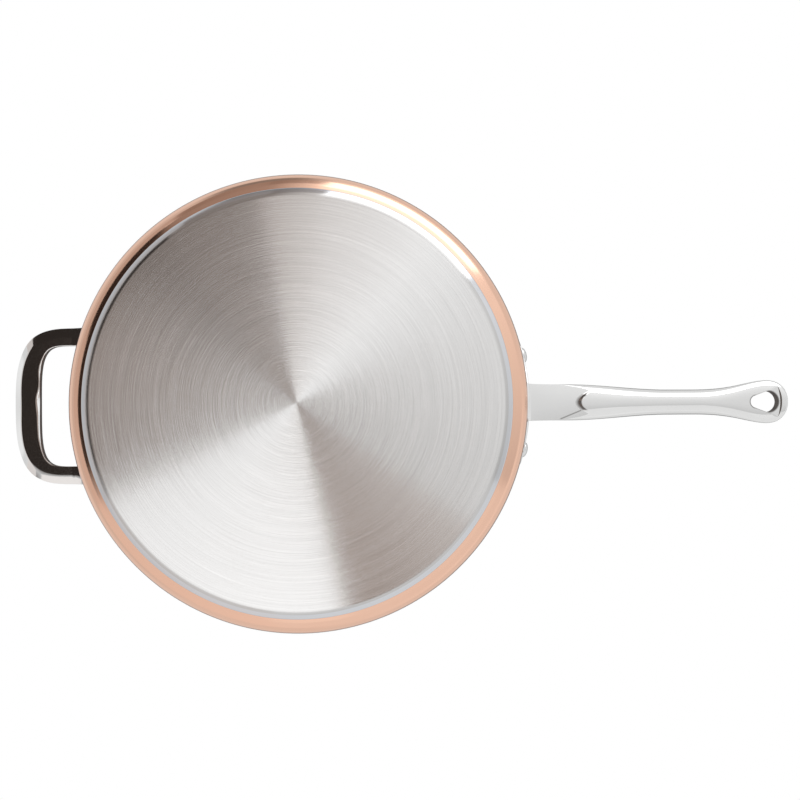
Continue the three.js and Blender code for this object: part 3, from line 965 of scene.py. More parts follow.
@dataclass(frozen=True)
class WallPad:
    """A cast pad that hugs the wall: a hub that a handle leaves from, with a wing on each side."""

    wing_radius: float
    hub_half_width: float
    hub_half_height: float
    span: float
    inner_radius: float = 0.1403
    thickness: float = 0.0020
    height: float = 0.046
    rows: int = 120
    columns: int = 40
    squareness: float = 6.0
    end_squareness: float = 20.0
    hub_flat: float = 0.7
    trim_gap: float = 0.0001
    trim_reach: float = 0.03
    trim_steps: int = 360

    def trim(self, casting: bpy.types.Object) -> None:
        """Cuts away what a casting has inside the wall."""
        low, high = self.height - self.trim_reach, self.height + self.trim_reach
        radius = self.inner_radius - self.trim_gap
        cutter = Workbench.spin_drum("wall_cutter", radius, low, high, self.trim_steps)
        Workbench.join(casting, cutter, Join.CUT)

    def build(self, name: str, angle: float) -> bpy.types.Object:
        """Skins the pad.

        Args:
            name: the new object's name.
            angle: where the pad sits round +Z, in radians.

        Returns:
            The pad.
        """
        reach = self.span + self.wing_radius
        middle = self.inner_radius + self.thickness / 2

        def place(row: int, turn: float) -> Vector:
            """Gives a point of the pad's skin."""
            across = reach * math.sin(HALF_TURN * (row / (self.rows - 1) - 0.5))
            wing = shoulder(max(abs(across) - self.span, 0.0) / self.wing_radius, 2)
            hub = 1 - ease(self.hub_half_width * self.hub_flat, self.span, abs(across))
            tall = wing * blend(self.wing_radius, self.hub_half_height, hub)
            thick = self.thickness / 2 * shoulder(across / reach, self.end_squareness)
            out, up = oval(thick, tall, self.squareness, turn)
            radius = middle + out
            side = angle + math.asin(across / self.inner_radius)
            return Vector((radius * math.cos(side), radius * math.sin(side), self.height + up))

        return Workbench.skin(name, self.rows, self.columns, place)


@dataclass
class LongHandle:
    """The cast long handle: winged flange, flat neck, round-nosed grip and a paddle with a hang hole."""

    root: Point = (0.136, 0.046)
    rise: Point = (0.186, 0.068)
    crest: Point = (0.262, 0.094)
    tip: Point = (0.3163, 0.098)
    wall_radius: float = 0.140
    neck_width: float = 0.0227
    half_thickness: float = 0.00325
    neck_squareness: float = 9.0
    neck_crown: float = 0.08
    swell_width: float = 0.0012
    swell_depth: float = 0.0045
    swell_length: float = 0.005
    round_start: float = 0.140
    round_end: float = 0.172
    scoop_start: float = 0.158
    scoop_radius: float = 0.12
    nose_x: float = 0.1744
    nose_bend: float = 0.0034
    nose_radius: float = 0.002
    nose_angle: float = math.radians(50)
    nose_depth: float = 0.0066
    grip_depth: float = 0.0084
    grip_full_x: float = 0.215
    grip_squareness: float = 2.35
    edge_round: float = 0.0003
    waist_start: float = 0.170
    waist_x: float = 0.234
    waist_end: float = 0.246
    waist_width: float = 0.0161
    paddle_start: float = 0.258
    paddle_x: float = 0.3023
    paddle_radius: float = 0.0140
    paddle_depth: float = 0.00485
    paddle_squareness: float = 3.0
    paddle_growth: float = 1.7
    paddle_end: float = 2.2
    tip_squareness: float = 3.0
    tip_under_squareness: float = 5.0
    land_start: Point = (0.280, 0.0072)
    land_tip: Point = (0.3115, 0.0034)
    land_radius: float = 0.0218
    hole_x: float = 0.3021
    hole_radius: float = 0.0068
    hole_narrow_x: float = 0.2937
    hole_narrow_radius: float = 0.004
    hole_flare: float = 0.00015
    flare_knee: float = 0.3
    flare_end: float = 3.0
    cut_reach: float = 0.02
    coarse_step: float = 0.0014
    fine_step: float = 0.0004
    fine_end: float = 0.292
    tip_rows: int = 44
    columns: int = 144
    cutter_steps: int = 160
    flange: WallPad = WallPad(
        wing_radius=0.009,
        hub_half_width=0.013,
        hub_half_height=0.015,
        span=0.140 * math.sin(math.radians(12)),
    )

    def spine(self, x: float) -> float:
        """Gives the height of the handle's middle line at a distance from the pan's axis."""
        points = (self.root, self.rise, self.crest, self.tip)
        low, high = 0.0, 1.0
        while high - low > MERGE:
            half = (low + high) / 2
            if bezier(points, half)[0] < x:
                low = half
            else:
                high = half
        return bezier(points, low)[1]

    def width(self, x: float) -> float:
        """Gives the handle's width at a distance from the pan's axis."""
        if x > self.paddle_x:
            return 2 * self.paddle_radius * shoulder(self.past_paddle(x), self.paddle_end)
        if x > self.waist_end:
            growth = ((x - self.waist_end) / (self.paddle_x - self.waist_end)) ** self.paddle_growth
            return blend(self.waist_width, 2 * self.paddle_radius, ease(0, 1, growth))
        swell = self.swell_width * self.swell(x)
        return swell + blend(self.neck_width, self.waist_width, ease(self.waist_start, self.waist_x, x))

    def stations(self) -> list[float]:
        """Lists where the handle's rings stand, closest about the nose and the paddle."""
        stations = []
        x = self.root[0]
        while x < self.paddle_x - self.fine_step / 2:
            stations.append(x)
            fine = self.round_start < x < self.grip_full_x or x > self.fine_end
            x += self.fine_step if fine else self.coarse_step
        for step in range(self.tip_rows + 1):
            reach = self.paddle_radius * math.sin(QUARTER_TURN * step / self.tip_rows)
            stations.append(self.paddle_x + reach)
        return stations

    def squareness(self, x: float) -> float:
        """Gives how boxy the bar's section is at a distance from the pan's axis."""
        rounding = ease(self.round_start, self.round_end, x)
        bar = blend(self.neck_squareness, self.grip_squareness, rounding)
        return blend(bar, self.paddle_squareness, ease(self.paddle_start, self.paddle_x, x))

    def depth(self, x: float, across: float, half_width: float) -> float:
        """Gives how far the underside lies below the middle line.

        The round bar is scooped out under the neck, up to the round nose of the grip.

        Args:
            x: the distance from the pan's axis.
            across: the distance from the handle's middle line.
            half_width: the handle's half width there.

        Returns:
            The depth, in metres.
        """
        grip = blend(self.nose_depth, self.grip_depth, ease(self.nose_x, self.grip_full_x, x))
        bar = blend(grip, self.paddle_depth, ease(self.paddle_start, self.paddle_x, x))
        tip = shoulder(self.past_paddle(x), self.tip_under_squareness)
        bar *= tip * shoulder(across / half_width, self.squareness(x))
        front = x - self.nose_x - across**2 / (2 * self.nose_bend)
        scoop = self.half_thickness - across**2 / (2 * self.neck_crown)
        scoop += max(x - self.scoop_start, 0.0) ** 2 / (2 * self.scoop_radius)
        scoop += curl(front, self.nose_radius, self.nose_angle)
        return soft_min(bar, scoop, self.edge_round) + self.swell_depth * self.swell(x)

    def swell(self, x: float) -> float:
        """Gives how strongly the bar spreads towards the flange, which is 1 at the wall."""
        return math.exp((self.wall_radius - x) / self.swell_length)

    def past_paddle(self, x: float) -> float:
        """Gives how far past the paddle's middle a ring stands, as a share of the paddle's radius."""
        return max(x - self.paddle_x, 0.0) / self.paddle_radius

    def bar(self) -> bpy.types.Object:
        """Skins the neck, the grip and the paddle as one bar."""
        stations = self.stations()
        heights = [self.spine(x) for x in stations]

        def place(row: int, turn: float) -> Vector:
            """Gives a point of the bar's skin."""
            x = stations[row]
            half_width = max(self.width(x) / 2, MERGE)
            top = self.half_thickness + self.swell_depth * self.swell(x)
            top *= shoulder(self.past_paddle(x), self.tip_squareness)
            across, up = oval(half_width, top, self.squareness(x), turn)
            if math.sin(turn) < 0:
                up = -self.depth(x, across, half_width)
            return Vector((x, across, heights[row] + up))

        return Workbench.skin("long_handle_casting", len(stations), self.columns, place)

    def hole_cutter(self) -> bpy.types.Object:
        """Skins the teardrop cutter of the hang hole, flared at the paddle's top face."""
        distance = self.hole_x - self.hole_narrow_x
        lean = math.acos((self.hole_radius - self.hole_narrow_radius) / distance)
        slope = math.atan2(
            self.spine(self.hole_x + self.fine_step) - self.spine(self.hole_x - self.fine_step),
            2 * self.fine_step,
        )
        middle = Vector((self.hole_x, 0, self.spine(self.hole_x)))
        turned = Matrix.Translation(middle) @ Matrix.Rotation(-slope, 4, "Y")
        top = self.half_thickness
        knee = self.flare_knee * self.hole_flare
        levels = [
            (-self.cut_reach, 0.0),
            (top - self.hole_flare, 0.0),
            (top - knee, knee),
            (top, self.hole_flare),
            (2 * top, self.flare_end * self.hole_flare),
        ]

        def place(row: int, turn: float) -> Vector:
            """Gives a point of the cutter's skin."""
            height, grow = levels[row]
            wide = abs((turn + HALF_TURN) % FULL_TURN - HALF_TURN) < HALF_TURN - lean
            centre = 0.0 if wide else -distance
            radius = grow + (self.hole_radius if wide else self.hole_narrow_radius)
            return turned @ Vector((centre + radius * math.cos(turn), radius * math.sin(turn), height))

        cutter = Workbench.skin("hang_hole_cutter", len(levels), self.columns, place)
        Workbench.mark_walls(cutter, turned.to_3x3() @ Vector((0, 0, 1)))
        return cutter

    def land_cutter(self) -> bpy.types.Object:
        """Spins the round cutter that mills a flat land about the hole."""
        ends = (self.land_start, self.land_tip)
        start, end = (Vector((x, self.spine(x) - drop)) for x, drop in ends)
        along = (end - start).normalized()
        middle = end - along * self.land_radius
        reach, steps = -self.cut_reach, self.cutter_steps
        cutter = Workbench.spin_drum("hang_land_cutter", self.land_radius, reach, 0.0, steps)
        Workbench.mark_walls(cutter, Vector((0, 0, 1)))
        lean = Matrix.Rotation(-math.atan2(along.y, along.x), 4, "Y")
        cutter.data.transform(Matrix.Translation((middle.x, 0, middle.y)) @ lean)
        return cutter

    def build(self, finishes: Finishes) -> None:
        """Builds and dresses the casting."""
        casting = self.bar()
        Workbench.join(casting, self.flange.build("long_handle_flange", 0), Join.UNION)
        self.flange.trim(casting)
        cutters = [self.land_cutter(), self.hole_cutter()]
        # the cutters' walls take the unpolished finish with painted shade
        for piece in (casting, *cutters):
            coat(piece, finishes.handle, finishes.raw_and_shade)
        for cutter in cutters:
            Workbench.join(casting, cutter, Join.CUT)
        Workbench.smooth(casting, Shading.CAST)
        dress(casting, PAN, ["long_handle"], Slot.HANDLE)


@dataclass
class HelperHandle:
    """The cast helper loop opposite the long handle, with its two winged feet."""

    leg_angle: float = math.radians(18)
    wall_radius: float = 0.140
    start: float = 0.142
    height: float = 0.046
    outer: Ring = Ring(half_x=0.0382, half_y=0.0488, squareness=3.0)
    inner: Ring = Ring(half_x=0.0214, half_y=0.0377, squareness=4.2)
    top: float = 0.0046
    bottom: float = 0.0038
    tilt: float = math.radians(8)
    top_squareness: float = 2.4
    under_squareness: float = 9.0
    inner_squareness_below: float = 40.0
    bevel_width: float = 0.0050
    bevel_angle: float = math.radians(37)
    leg_bevel_angle: float = math.radians(9)
    bevel_turn: Point = (0.4, 0.8)
    bevel_round: float = 0.0003
    worn_edge: tuple[Point, ...] = (
        (0.0, 0.0), (0.17, 0.0), (0.235, 0.0009), (0.31, 0.0),
        (0.45, 0.0019), (0.6, 0.0011), (0.72, 0.0010), (0.82, 0.0), (1.0, 0.0),
    )
    worn_angle: float = math.radians(22)
    raw_shade_share: float = 0.6
    swell_width: float = 0.002
    swell_thickness: float = 0.0015
    swell_length: float = 0.0025
    leg_rows: int = 16
    loop_rows: int = 150
    columns: int = 120
    foot: WallPad = WallPad(
        wing_radius=0.0075,
        hub_half_width=0.007,
        hub_half_height=0.009,
        span=0.140 * math.sin(math.radians(6)),
    )

    def section(self, row: int) -> tuple[Point, Point, float]:
        """Gives the outer point, the inner point and the swell of one of the loop's rings."""
        last = 2 * self.leg_rows + self.loop_rows
        if row < self.leg_rows or row > last - self.leg_rows:
            side = 1 if row < self.leg_rows else -1
            share = min(row, last - row) / self.leg_rows
            foot = self.wall_radius * math.cos(self.leg_angle) - self.foot.thickness
            x = blend(foot, self.start, share)
            swell = min(math.exp((foot + self.foot.thickness - x) / self.swell_length), 1.0)
            along = x - self.start
            return (along, side * self.outer.half_y), (along, side * self.inner.half_y), swell
        angle = HALF_TURN * (0.5 - (row - self.leg_rows) / self.loop_rows)
        return self.outer.point(angle), self.inner.point(angle), 0.0

    def seat(self, spot: Point) -> Vector:
        """Puts a point of the loop's flat drawing into its tilted plane."""
        out = self.start - self.wall_radius + spot[0]
        return Vector((self.wall_radius + out, spot[1], self.height + out * math.tan(self.tilt)))

    def worn_width(self, row: int) -> float:
        """Gives how far polishing has rounded the loop's inner edge at one of its rings."""
        share = min(max((row - self.leg_rows) / self.loop_rows, 0.0), 1.0)
        for (before, first), (after, second) in pairwise(self.worn_edge):
            if share <= after:
                return blend(first, second, ease(before, after, share))
        return 0.0

    def depth(self, row: int, sideways: float, half_width: float, facing: float) -> float:
        """Gives how far the bar's underside lies below its middle.

        The underside is flat, with a bevel along its outer edge that is steep on the loop's far side.

        Args:
            row: the ring's number.
            sideways: the distance outwards from the bar's middle.
            half_width: the bar's half width.
            facing: how far the ring points away from the pan, from 0 to 1.

        Returns:
            The depth, in metres.
        """
        squareness = self.under_squareness if sideways > 0 else self.inner_squareness_below
        flat = self.bottom * shoulder(sideways / half_width, squareness)
        steepness = blend(self.leg_bevel_angle, self.bevel_angle, ease(*self.bevel_turn, facing))
        bevel = self.bottom + (half_width - self.bevel_width - sideways) * math.tan(steepness)
        worn = self.bottom + (half_width - self.worn_width(row) + sideways) * math.tan(self.worn_angle)
        return soft_min(soft_min(flat, max(bevel, 0.0), self.bevel_round), worn, self.bevel_round)

    def loop(self) -> bpy.types.Object:
        """Skins the loop's bar."""
        rows = 2 * self.leg_rows + self.loop_rows + 1
        up = Vector((-math.sin(self.tilt), 0, math.cos(self.tilt)))

        def place(row: int, turn: float) -> Vector:
            """Gives a point of the bar's skin."""
            outer, inner, swell = self.section(row)
            start, end = self.seat(inner), self.seat(outer)
            across = (end - start).normalized()
            half_width = ((end - start).length + swell * self.swell_width) / 2
            if math.sin(turn) > 0:
                top = self.top + swell * self.swell_thickness
                sideways, lift = oval(half_width, top, self.top_squareness, turn)
            else:
                sideways = half_width * math.cos(turn)
                lift = -self.depth(row, sideways, half_width, across.x) - swell * self.swell_thickness
            return (start + end) / 2 + across * sideways + up * lift

        bar = Workbench.skin("helper_handle_casting", rows, self.columns, place)
        # faces that point into the loop take the unpolished finish with painted shade
        for face in bar.data.polygons:
            inwards = Vector((face.center.x - self.start, face.center.y, 0)).normalized()
            face.material_index = 1 if face.normal.dot(inwards) < -self.raw_shade_share else 0
        return bar

    def build(self, finishes: Finishes) -> None:
        """Builds and dresses the casting."""
        casting = self.loop()
        coat(casting, finishes.helper, finishes.raw_and_shade)
        for side in SIDES:
            foot = self.foot.build("helper_foot", side * self.leg_angle)
            coat(foot, finishes.helper)
            Workbench.join(casting, foot, Join.UNION)
        self.foot.trim(casting)
        casting.data.transform(Matrix.Rotation(HALF_TURN, 4, "Z"))
        Workbench.smooth(casting, Shading.CAST)
        dress(casting, PAN, ["helper_handle"], Slot.HANDLE)


@dataclass(frozen=True)
class Rivet:
    """A domed rivet through two layers, with a flatter head on the far side."""

    shank: float
    head_radius: float
    head_height: float
    tail_radius: float
    tail_height: float
    grip: float
    clearance: float = 0.0001
    dome_steps: int = 10
    turn_steps: int = 48

    def dome(self, radius: float, height: float, seat: float) -> list[Point]:
        """Draws one head from its edge to its top."""
        angles = [QUARTER_TURN * step / self.dome_steps for step in range(self.dome_steps)]
        edge = [(radius * math.cos(a), seat + height * math.sin(a)) for a in angles]
        return [*edge, (0.0, seat + height)]

    def build(self, name: str) -> bpy.types.Object:
        """Spins the rivet, with its outer head seated at height 0."""
        tail_seat = -self.grip - self.clearance
        tail = self.dome(self.tail_radius, -self.tail_height, tail_seat)
        head = self.dome(self.head_radius, self.head_height, self.clearance)
        shank = [(self.shank, tail_seat), (self.shank, self.clearance)]
        piece = Workbench.spin(name, [*reversed(tail), *shank, *head], self.turn_steps)
        Workbench.smooth(piece, Shading.RIVET)
        return piece

    def drive(self, body: str, spots: dict[str, Matrix], finishes: Finishes) -> None:
        """Models one rivet, copies it to each place and dresses the copies.

        Args:
            body: the body that the rivets ride on.
            spots: where the rivets go, by the nodes that they stand for.
            finishes: the pan's finishes.
        """
        model = self.build("rivet_model")
        for node, place in spots.items():
            rivet = Workbench.copy(model, f"{node}_head", place)
            dress(rivet, body, [node], Slot.RIVET, finishes.rivet)
        bpy.data.objects.remove(model)


@dataclass
class WallRivets:
    """The six rivets that hold both handles to the wall."""

    height: float = 0.046
    seat: float = 0.1423 * math.cos(math.radians(2))
    liner_face: float = 0.1372 * math.cos(math.radians(2))
    long_angle: float = math.radians(12)
    leg_angle: float = math.radians(18)
    spread: float = math.radians(6)

    def build(self, finishes: Finishes) -> None:
        """Drives a rivet through each wing of the handles' pads."""
        angles = {"long_handle_rivet_1": self.long_angle, "long_handle_rivet_2": -self.long_angle}
        helper = [side * self.leg_angle + wing * self.spread for side in SIDES for wing in SIDES]
        for at, angle in enumerate(helper):
            angles[f"helper_rivet_{at + 1}"] = HALF_TURN + angle
        lift = Matrix.Translation((self.seat, 0, self.height))
        lie = Matrix.Rotation(QUARTER_TURN, 4, "Y")
        turns = {node: Matrix.Rotation(angle, 4, "Z") for node, angle in angles.items()}
        rivet = Rivet(
            shank=0.0025,
            head_radius=0.0048,
            head_height=0.0024,
            tail_radius=0.0046,
            tail_height=0.0016,
            grip=self.seat - self.liner_face,
        )
        rivet.drive(PAN, {node: turn @ lift @ lie for node, turn in turns.items()}, finishes)


@dataclass
class Lid:
    """The lift-off lid: a spun sheet with a flat crown, and a cast bridge handle riveted to it."""

    seat: float = 0.0713
    ply: float = 0.001
    crown_radius: float = 0.074
    crown_height: float = 0.015
    shoulder_radius: float = 0.1245
    shoulder_height: float = 0.0025
    shoulder_pull: float = 0.009
    channel_inner: float = 0.1275
    channel_outer: float = 0.1335
    channel_depth: float = 0.0034
    flange_inner: float = 0.1362
    flange_outer: float = 0.1408
    curl: float = 0.001
    crease_round: float = 0.0009
    crease_segments: int = 4
    crease_angle: float = math.radians(18)
    curve_steps: int = 24
    ring_steps: int = 8
    turn_steps: int = 240

    gap: float = 0.0003
    bridge_outer: Ring = Ring(half_x=0.050, half_y=0.037, squareness=2.9)
    bridge_inner: Ring = Ring(half_x=0.040, half_y=0.028, squareness=3.2)
    bridge_width: float = 0.017
    bridge_squareness: float = 2.6
    bridge_rows: int = 150
    bridge_columns: int = 64
    foot_thickness: float = 0.003
    foot_reach: float = 0.057
    foot_radius: float = 0.0085
    foot_inner: float = 0.040
    foot_squareness: float = 5.0
    foot_end_squareness: float = 10.0
    foot_rows: int = 60
    rivet: Rivet = Rivet(
        shank=0.002,
        head_radius=0.004,
        head_height=0.002,
        tail_radius=0.004,
        tail_height=0.0012,
        grip=0.0043,
    )

    def line(self) -> list[Point]:
        """Draws the sheet's top line from its middle out to the rolled edge."""
        shoulder_points = (
            (self.crown_radius, self.crown_height),
            ((self.crown_radius + self.shoulder_radius) / 2, self.crown_height),
            (self.shoulder_radius - self.shoulder_pull, self.shoulder_pull),
            (self.shoulder_radius, self.shoulder_height),
        )
        rings = [self.crown_radius * step / self.ring_steps for step in range(self.ring_steps)]
        crown = [(radius, self.crown_height) for radius in rings]
        slope = [bezier(shoulder_points, step / self.curve_steps) for step in range(self.curve_steps + 1)]
        return [
            *crown,
            *slope,
            (self.channel_inner, -self.channel_depth),
            (self.channel_outer, -self.channel_depth),
            (self.flange_inner, 0.0),
            (self.flange_outer, 0.0),
            (self.flange_outer + self.curl, -self.curl),
        ]

    def sheet(self) -> bpy.types.Object:
        """Spins the lid's sheet, with its pressed creases rounded."""
        line = [(radius, self.seat + height) for radius, height in self.line()]
        piece = Workbench.spin_sheet("lid_sheet", line, 0.0, -self.ply, self.turn_steps)
        Workbench.bevel(piece, self.crease_round, self.crease_segments, self.crease_angle)
        Workbench.smooth(piece, Shading.PRESSED)
        return piece

    def bridge(self) -> bpy.types.Object:
        """Skins the bridge's bar."""
        base = self.seat + self.crown_height + self.gap + self.foot_thickness / 2

        def place(row: int, turn: float) -> Vector:
            """Gives a point of the bar's skin."""
            angle = HALF_TURN * (1 - row / (self.bridge_rows - 1))
            outer, inner = self.bridge_outer.point(angle), self.bridge_inner.point(angle)
            across, side = oval(0.5, self.bridge_width / 2, self.bridge_squareness, turn)
            x, up = (blend(near, far, across + 0.5) for near, far in zip(inner, outer))
            return Vector((x, side, base + up))

        return Workbench.skin("lid_handle_casting", self.bridge_rows, self.bridge_columns, place)

    def foot(self, side: int) -> bpy.types.Object:
        """Skins one flat foot of the bridge, with a round end about its rivet."""
        low = self.seat + self.crown_height + self.gap
        end = self.foot_reach + self.foot_radius

        def place(row: int, turn: float) -> Vector:
            """Gives a point of the foot's skin."""
            along = blend(self.foot_inner, end, math.sin(QUARTER_TURN * row / (self.foot_rows - 1)))
            past = max(along - self.foot_reach, 0.0) / self.foot_radius
            half_width = self.foot_radius * shoulder(past, 2)
            half_height = self.foot_thickness / 2 * shoulder(past, self.foot_end_squareness)
            across, up = oval(half_width, half_height, self.foot_squareness, turn)
            return Vector((side * along, side * across, low + self.foot_thickness / 2 + up))

        return Workbench.skin("lid_handle_foot", self.foot_rows, self.bridge_columns, place)

    def build(self, finishes: Finishes) -> None:
        """Builds and dresses the sheet, its handle and the two rivets."""
        dress(self.sheet(), LID, ["lid_shell"], Slot.LID, finishes.lid)
        casting = self.bridge()
        for side in SIDES:
            Workbench.join(casting, self.foot(side), Join.UNION)
        Workbench.smooth(casting, Shading.CAST)
        dress(casting, LID, ["lid_handle"], Slot.HANDLE, finishes.handle)
        top = self.seat + self.crown_height + self.gap + self.foot_thickness
        places = [Matrix.Translation((side * self.foot_reach, 0, top)) for side in SIDES]
        spots = {f"lid_rivet_{at + 1}": place for at, place in enumerate(places)}
        self.rivet.drive(LID, spots, finishes)


@dataclass
class Viewpoint:
    """The camera under the pan, looking up at its base."""

    distance: float = 1.05
    focal_pixels: float = 1748.0
    image_pixels: float = 800.0
    sensor: float = 36.0
    target: tuple[float, float, float] = (0.0620, -0.0013, 0.0)
    tilt: float = math.radians(1.07)
    roll: float = 0.0085

    def place(self) -> Vector:
        """Gives the camera's place."""
        return Vector(self.target) - self.distance * self.ahead()

    def ahead(self) -> Vector:
        """Gives the direction that the camera looks in."""
        return Vector((0, -math.sin(self.tilt), math.cos(self.tilt)))

    def build(self) -> None:
        """Adds the camera and makes it the scene's own."""
        down = Vector((0, math.cos(self.tilt), math.sin(self.tilt)))
        flat = Vector((1, 0, 0))
        right = flat * math.cos(self.roll) + down * math.sin(self.roll)
        under = down * math.cos(self.roll) - flat * math.sin(self.roll)
        data = bpy.data.cameras.new("base_view")
        data.sensor_width = self.sensor
        data.lens = self.focal_pixels * self.sensor / self.image_pixels
        camera = bpy.data.objects.new("base_view", data)
        bpy.context.scene.collection.objects.link(camera)
        turn = Matrix((right, -under, -self.ahead())).transposed().to_4x4()
        camera.matrix_world = Matrix.Translation(self.place()) @ turn
        bpy.context.scene.camera = camera


def grey(level: float, warmth: float = 0.0) -> Colour:
    """Gives the glow of a grey sheet, which a warmth above 0 turns towards brown."""
    return level * (1 + warmth), level, level * (1 - warmth / 2)


@dataclass(frozen=True)
class Panel:
    """A fan-shaped sheet under the pan that its metal mirrors: a softbox, a grey wall or a dark flag.

    Its angles are in degrees from the picture's right, turning towards the picture's top.
    """

    name: str
    start: float
    end: float
    inner: float
    outer: float
    first: Colour
    last: Colour | None = None
    steps: int = 24

    def glow(self, board: ShaderBoard, centre: Vector) -> bpy.types.NodeSocket:
        """Gives the sheet's colour, which changes evenly from its start angle to its end, if at all."""
        x, y, _ = board.split(board.place())
        middle = math.radians((self.start + self.end) / 2)
        right, up = x - centre.x, centre.y - y
        along = right * math.cos(middle) + up * math.sin(middle)
        across = up * math.cos(middle) - right * math.sin(middle)
        turn = board.math("ARCTAN2", across, along)
        share = turn / math.radians(self.end - self.start) + 0.5
        return board.mix(share, self.first, self.last or self.first)

    def build(self, centre: Vector) -> None:
        """Adds the sheet, fanned about a point."""
        fan = Workbench.draw(self.name, [(self.inner, 0.0), (self.outer, 0.0)])
        turn = math.radians(self.end - self.start)
        bpy.ops.mesh.spin(steps=self.steps, angle=turn, center=(0, 0, 0), axis=(0, 0, 1))
        bpy.ops.mesh.select_all(action="SELECT")
        bpy.ops.mesh.remove_doubles(threshold=MERGE)
        Workbench.clear()
        upwards = sum(vertex.co.y for vertex in fan.data.vertices) < 0
        first = -self.start if upwards else -self.end
        fan.data.transform(Matrix.Translation(centre) @ Matrix.Rotation(math.radians(first), 4, "Z"))
        material, board = new_material(self.name)
        board.show(board.node("ShaderNodeEmission", {"Color": self.glow(board, centre)}))
        coat(fan, material)
        hide(fan, "camera", "diffuse", "shadow")


@dataclass(frozen=True)
class SkyPatch:
    """A lighter or darker part of the sky just above the horizon, as metal mirrors it.

    Its angles are in degrees from the picture's right, turning towards the picture's top.
    """

    angle: float
    core: float
    edge: float
    height: float
    fade: float
    gain: float

    def share(self, board: ShaderBoard, right: Term, down: Term, height: Term) -> Term:
        """Gives the factor that the patch puts on the sky.

        Args:
            board: the world's tree.
            right: the direction's part along +X.
            down: its part along +Y.
            height: its part along +Z.

        Returns:
            The patch's gain in its middle, and 1 outside it.
        """
        angle = math.radians(self.angle)
        run = board.math("MAXIMUM", board.length(right, down), MERGE)
        facing = (right * math.cos(angle) - down * math.sin(angle)) / run
        edge, core = (math.cos(math.radians(a)) for a in (self.edge, self.core))
        above = board.math("GREATER_THAN", height, HORIZON)
        low = board.clamp((self.height - height) / self.fade) * above
        return 1 + board.clamp((facing - edge) / (core - edge)) * low * (self.gain - 1)


@dataclass(frozen=True)
class Softbox:
    """A square lamp above the pan that points at it."""

    name: str
    place: tuple[float, float, float]
    size: float
    power: float

    def build(self) -> None:
        """Adds the lamp, which neither the camera nor metal sees."""
        data = bpy.data.lights.new(self.name, "AREA")
        data.shape = "SQUARE"
        data.size = self.size
        data.energy = self.power
        lamp = bpy.data.objects.new(self.name, data)
        lamp.location = self.place
        lamp.rotation_mode = "QUATERNION"
        lamp.rotation_quaternion = Vector(self.place).to_track_quat("Z", "Y")
        hide(lamp, "camera", "glossy")
        bpy.context.scene.collection.objects.link(lamp)


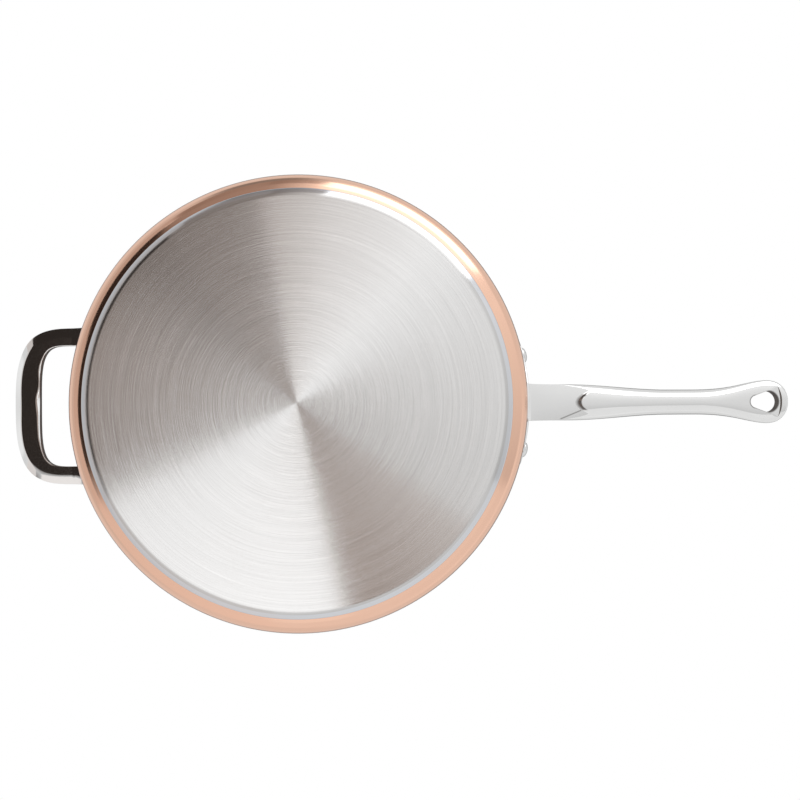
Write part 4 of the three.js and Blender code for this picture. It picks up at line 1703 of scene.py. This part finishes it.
@dataclass
class Studio:
    """The floor, the white surroundings, the panels below the pan and the softboxes above it."""

    view: Viewpoint
    floor_size: float = 30.0
    floor_cells: int = 4
    floor_gap: float = 0.0003
    floor_colour: Colour = (0.9, 0.9, 0.9)
    floor_fade: Point = (0.35, 1.0)
    ambient: float = 0.55
    sky: float = 0.83
    zenith: float = 0.04
    zenith_start: float = 0.7
    patches: tuple[SkyPatch, ...] = (
        SkyPatch(101, 8, 18, 0.32, 0.12, 0.35),
        SkyPatch(60, 18, 26, 0.2, 0.15, 1.45),
        SkyPatch(165, 30, 75, 0.27, 0.1, 0.8),
        SkyPatch(-40, 20, 55, 0.3, 0.2, 1.14),
    )
    panels: tuple[Panel, ...] = (
        Panel("dark_flag", 100, 136, 0.05, 0.6, grey(0.195, 0.22), grey(0.15, 0.24)),
        Panel("middle_flag", 136, 166, 0.05, 0.6, grey(0.15, 0.24), grey(0.29, 0.22)),
        Panel("left_flag", 166, 204, 0.05, 0.6, grey(0.29, 0.22), grey(0.24, 0.22)),
        Panel("far_dark_flag", 128, 162, 0.6, 2.2, grey(0.018, 0.3)),
        Panel("near_dark_flag", 162, 197, 0.6, 1.6, grey(0.018, 0.3)),
        Panel("top_dark_flag", 99, 128, 0.6, 2.0, grey(0.34, 0.15), grey(0.30, 0.15)),
        Panel("left_wall", 162, 205, 1.6, 14.0, grey(0.55, 0.08), grey(0.66, 0.06)),
        Panel("upper_left_wall", 124, 162, 2.2, 14.0, grey(0.52, 0.08)),
        Panel("near_left_wall", 197, 205, 0.6, 1.6, grey(0.2, 0.1), grey(0.5)),
        Panel("top_wall", 48, 100, 0.0, 0.6, grey(1.06), grey(0.48, 0.14)),
        Panel("top_left_flag", 99, 124, 2.0, 14.0, grey(0.34, 0.15), grey(0.24, 0.2)),
        Panel("top_near_flag", 84, 99, 0.6, 2.0, grey(1.0, 0.05), grey(0.25, 0.2)),
        Panel("top_flag", 84, 99, 2.0, 14.0, grey(0.5, 0.1), grey(0.22, 0.2)),
        Panel("upper_softbox", 38, 84, 1.3, 14.0, grey(2.6)),
        Panel("upper_fill", 38, 84, 0.6, 1.3, grey(1.65)),
        Panel("lower_softbox", 206, 283, 0.0, 0.6, grey(1.04), grey(1.32)),
        Panel("lower_left_wall", 205, 262, 0.6, 14.0, grey(0.78, 0.05), grey(0.90, 0.03)),
        Panel("lower_wall", 283, 325, 0.0, 0.6, grey(0.22, 0.4), grey(0.60, 0.1)),
        Panel("right_fill", -35, 48, 0.0, 0.42, grey(0.74), grey(0.97)),
        Panel("lower_right_wall", 283, 338, 0.6, 1.4, grey(0.92)),
        Panel("lower_far_wall", 262, 338, 1.4, 14.0, grey(0.92), grey(0.88)),
        Panel("right_wall", -22, 25, 0.6, 14.0, grey(0.67), grey(0.98)),
    )
    lamps: tuple[Softbox, ...] = (
        Softbox("top_softbox", (-0.5, -0.7, 1.7), 2.2, 26),
        Softbox("back_softbox", (-0.9, 1.5, 1.4), 1.8, 12),
    )

    def floor(self) -> None:
        """Adds a pale floor that runs out into white, and lets the camera look up through it."""
        Workbench.clear()
        bpy.ops.mesh.primitive_grid_add(
            x_subdivisions=self.floor_cells,
            y_subdivisions=self.floor_cells,
            size=self.floor_size,
            location=(0, 0, -self.floor_gap),
        )
        floor = Workbench.adopt("floor")
        material, board = new_material("pale_floor")
        matt = board.node("ShaderNodeBsdfDiffuse", {"Color": (*self.floor_colour, 1)})
        clear = board.node("ShaderNodeBsdfTransparent")
        beneath = Term(board, board.node("ShaderNodeNewGeometry").outputs["Backfacing"])
        near, far = self.floor_fade
        away = board.clamp((board.radius() - near) / (far - near))
        gone = board.math("MAXIMUM", beneath, away)
        parts = {0: gone, 1: matt.outputs[0], 2: clear.outputs[0]}
        board.show(board.node("ShaderNodeMixShader", parts))
        coat(floor, material)
        hide(floor, "glossy", "diffuse", "transmission", "shadow")

    def surroundings(self) -> None:
        """Makes the world white to the eye, a soft fill to the floor and a darkening sky to metal."""
        world = bpy.data.worlds.new("white_studio")
        world.use_nodes = True
        bpy.context.scene.world = world
        board = ShaderBoard(world.node_tree)
        direction = board.node("ShaderNodeTexCoord").outputs["Generated"]
        right, down, height = board.split(direction)
        path = board.node("ShaderNodeLightPath").outputs
        mirrored, straight, through = (
            Term(board, path[f"Is {kind} Ray"]) for kind in ("Glossy", "Camera", "Transmission")
        )
        seen = board.math("MAXIMUM", straight, through)
        above = board.math("GREATER_THAN", height, HORIZON)
        top = board.math("MAXIMUM", height - self.zenith_start, 0.0) / (1 - self.zenith_start)
        sky = 1 - above * (1 - self.sky) - top * (self.sky - self.zenith)
        for patch in self.patches:
            sky = sky * patch.share(board, right, down, height)
        level = mirrored * sky + seen + (1 - mirrored) * (1 - seen) * self.ambient
        background = board.node("ShaderNodeBackground", {"Color": (1, 1, 1, 1), "Strength": level})
        board.node("ShaderNodeOutputWorld", {"Surface": background.outputs[0]})

    def build(self) -> None:
        """Sets up the whole studio."""
        self.floor()
        self.surroundings()
        eye = self.view.place()
        mirrored_eye = Vector((-eye.x, -eye.y, eye.z))
        for panel in self.panels:
            panel.build(mirrored_eye)
        for lamp in self.lamps:
            lamp.build()
        bpy.context.scene.view_settings.view_transform = "Standard"


def main() -> None:
    """Builds the pan, its lid and the studio."""
    logging.basicConfig(level=logging.INFO, format="%(name)s: %(message)s")
    finishes = Finishes()
    for assembly in (PanBody(), BaseDisc(), LongHandle(), HelperHandle(), WallRivets(), Lid()):
        assembly.build(finishes)
    view = Viewpoint()
    view.build()
    Studio(view).build()
    Workbench.clear()


if __name__ == "__main__":
    main()
